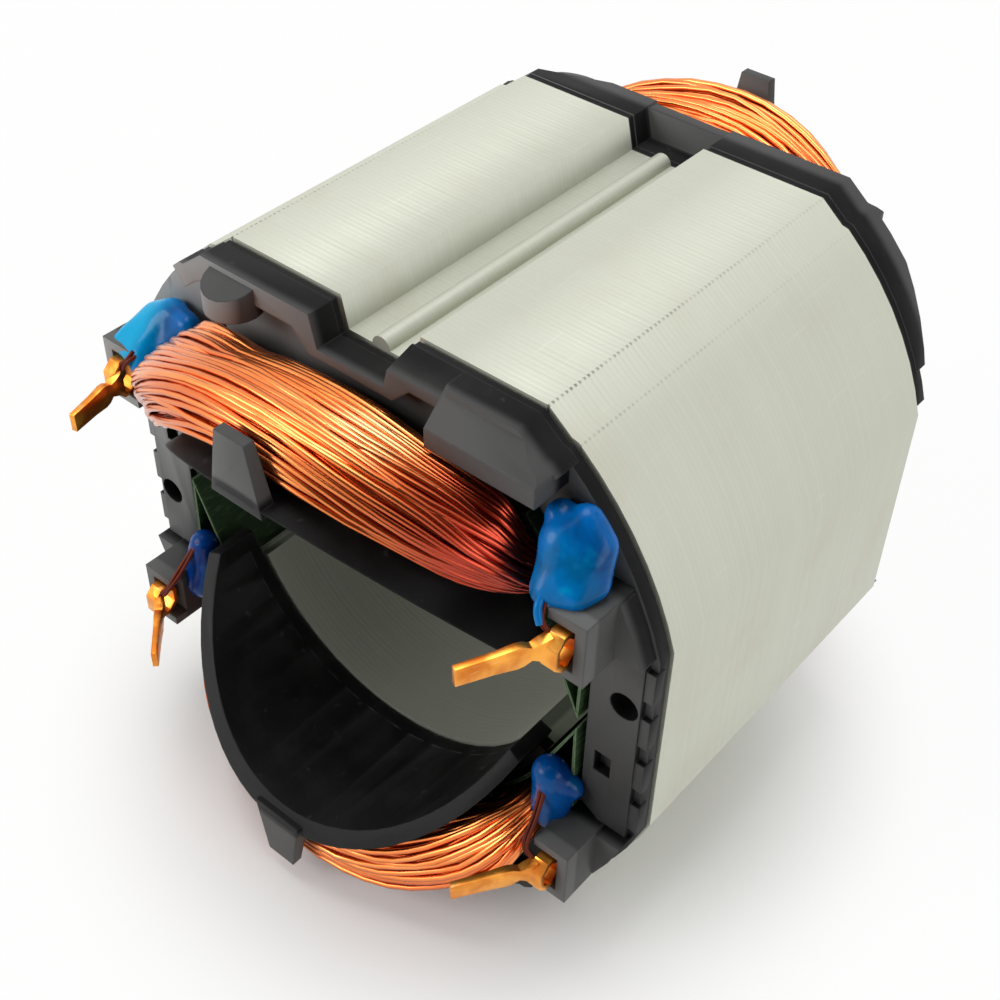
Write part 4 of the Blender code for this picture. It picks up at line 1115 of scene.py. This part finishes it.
resin = {
    "voxel": 0.18,
    "smoothing": 22,
    "smoothShare": 0.6,
    # the skin's unevenness, as each wave's scale and its height in mm
    "waves": ((300, 0.30), (700, 0.03)),
    "deep": (0.0, 0.028, 0.17, 1),
    "plain": (0.0, 0.105, 0.43, 1),
    "thin": (0.0, 0.37, 0.66, 1),
    # where the colour is paler, and where painted shade makes it deeper, in mm
    "leftSides": (-22.8, -19.6),
    "leftHeights": (13, 16.5),
    "rightSides": (19, 20),
    "rightDepths": (-23, -21.5),
    "lowerHeights": (-4, 2),
    # groups of lumps as (x, depth, z, radius) in mm, each group wrapped in one skin
    "upper_right": (
        ((20.6, 3.4, 19.4, 2.0), (22.3, 3.2, 18.2, 2.0), (21.3, 2.4, 20.8, 1.2),
         (22.9, 2.4, 19.3, 1.3), (21.2, 4.8, 17.4, 1.8), (23.3, 3.8, 17.2, 1.4),
         (20.9, 6.0, 16.6, 1.1), (23.1, 5.2, 16.7, 1.0)),
        ((20.3, 4.8, 15.4, 1.1), (20.8, 5.8, 16.7, 1.2), (20.3, 4.0, 18.6, 1.4)),
        ((19.4, 2.8, 20.6, 1.2), (20.8, 3.0, 20.0, 1.4))),
    "upper_left": (
        ((-20.8, 2.8, 18.4, 1.4), (-22.7, 3.2, 17.6, 1.2), (-22.0, 4.6, 16.6, 1.4),
         (-24.2, 6.2, 15.6, 0.7), (-22.0, 6.6, 15.6, 0.8)),
        ((-20.8, 2.9, 18.3, 1.4), (-18.4, 3.4, 18.5, 1.1), (-20.6, 4.6, 16.2, 1.1)),
        ((-21.6, 6.0, 15.8, 1.1), (-21.0, 6.9, 14.6, 0.8), (-20.4, 6.2, 13.3, 0.8),
         (-20.4, 4.8, 15.6, 1.0))),
    "lower_right": (
        ((20.5, 3.4, -6.5, 1.6), (21.0, 3.4, -8.8, 1.7), (20.8, 3.6, -11.2, 1.5)),
        ((20.6, 3.2, -7.0, 1.4), (22.2, 2.9, -7.6, 1.1))),
    "lower_left": (
        ((-20.5, 3.4, -7.2, 1.4), (-21.0, 3.4, -9.6, 1.7), (-20.8, 3.8, -12.0, 1.6),
         (-21.8, 3.4, -13.8, 1.2)),),
}


def makeResinSurface():
    material, tree, shader = newMaterial("blueResin", {
        "Coat Weight": 0.10, "Coat Roughness": 0.05, "Specular IOR Level": 0.12})
    place = objectPlace(tree)
    axes = splitAxes(tree, place)
    tones = useGroup(tree, grain, {"Vector": place, "Fine Scale": 500.0, "Broad Scale": 280.0})
    clouds = remap(tree, tones["Broad"], 0.36, 0.62, 0.0, 1.0)
    upperLeft = times(tree, zone(tree, axes["X"], resin["leftSides"], 0.95, 0.1),
                      zone(tree, axes["Z"], resin["leftHeights"], 0.0, 1.0))
    upperRight = times(tree, zone(tree, axes["X"], resin["rightSides"], 0.0, 0.22),
                       zone(tree, axes["Y"], resin["rightDepths"], 1.0, 0.2))
    spots = maths(tree, "ADD", remap(tree, tones["Fine"], 0.55, 0.8, 0.0, 0.4), upperRight)
    thin = maths(tree, "MAXIMUM", upperLeft, spots)
    # painted shade: deeper blue on the lower resin
    lower = zone(tree, axes["Z"], resin["lowerHeights"], 0.65, 0.0)
    colour = blendColour(tree, clouds, resin["deep"], resin["plain"])
    colour = blendColour(tree, thin, colour, resin["thin"])
    colour = blendColour(tree, lower, colour, resin["deep"])
    setSurface(tree, shader, colour, 0.16, tones["Broad"], 0.2)
    setBump(tree, shader, tones["Fine"], 0.15, 0.1)
    return material


blueResin = makeResinSurface()


def ballPoints():
    ball = bmesh.new()
    bmesh.ops.create_icosphere(ball, subdivisions=3, radius=1.0)
    points = [vert.co.copy() for vert in ball.verts]
    ball.free()
    return points


def wrapLumps(bm, group):
    verts = [bm.verts.new(atFront(x, depth, z) + point * radius * mm)
             for x, depth, z, radius in group for point in ballPoints()]
    bmesh.ops.convex_hull(bm, input=verts)
    bmesh.ops.delete(bm, geom=[vert for vert in verts if not vert.link_faces], context="VERTS")


def makeResin(corner):
    bm = bmesh.new()
    for group in resin[corner]:
        wrapLumps(bm, group)
    item = toObject(cornerName("resin", corner), bm, blueResin)
    remesh = item.modifiers.new("join", "REMESH")
    remesh.mode = "VOXEL"
    remesh.voxel_size = resin["voxel"] * mm
    smooth = item.modifiers.new("smooth", "SMOOTH")
    smooth.factor = resin["smoothShare"]
    smooth.iterations = resin["smoothing"]
    bakeModifiers(item)
    for vert in item.data.vertices:
        swell = sum(noise.noise(vert.co * scale) * height for scale, height in resin["waves"])
        vert.co += vert.normal * swell * mm
    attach(item, "root")
    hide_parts("resin_fillet_" + corner)


for corner in corners:
    makeResin(corner)
sleeve = makeTube("leadSleeve", [leads["sleeve"]], leads["sleeveDiameter"], blueResin)
print("stage: resin")
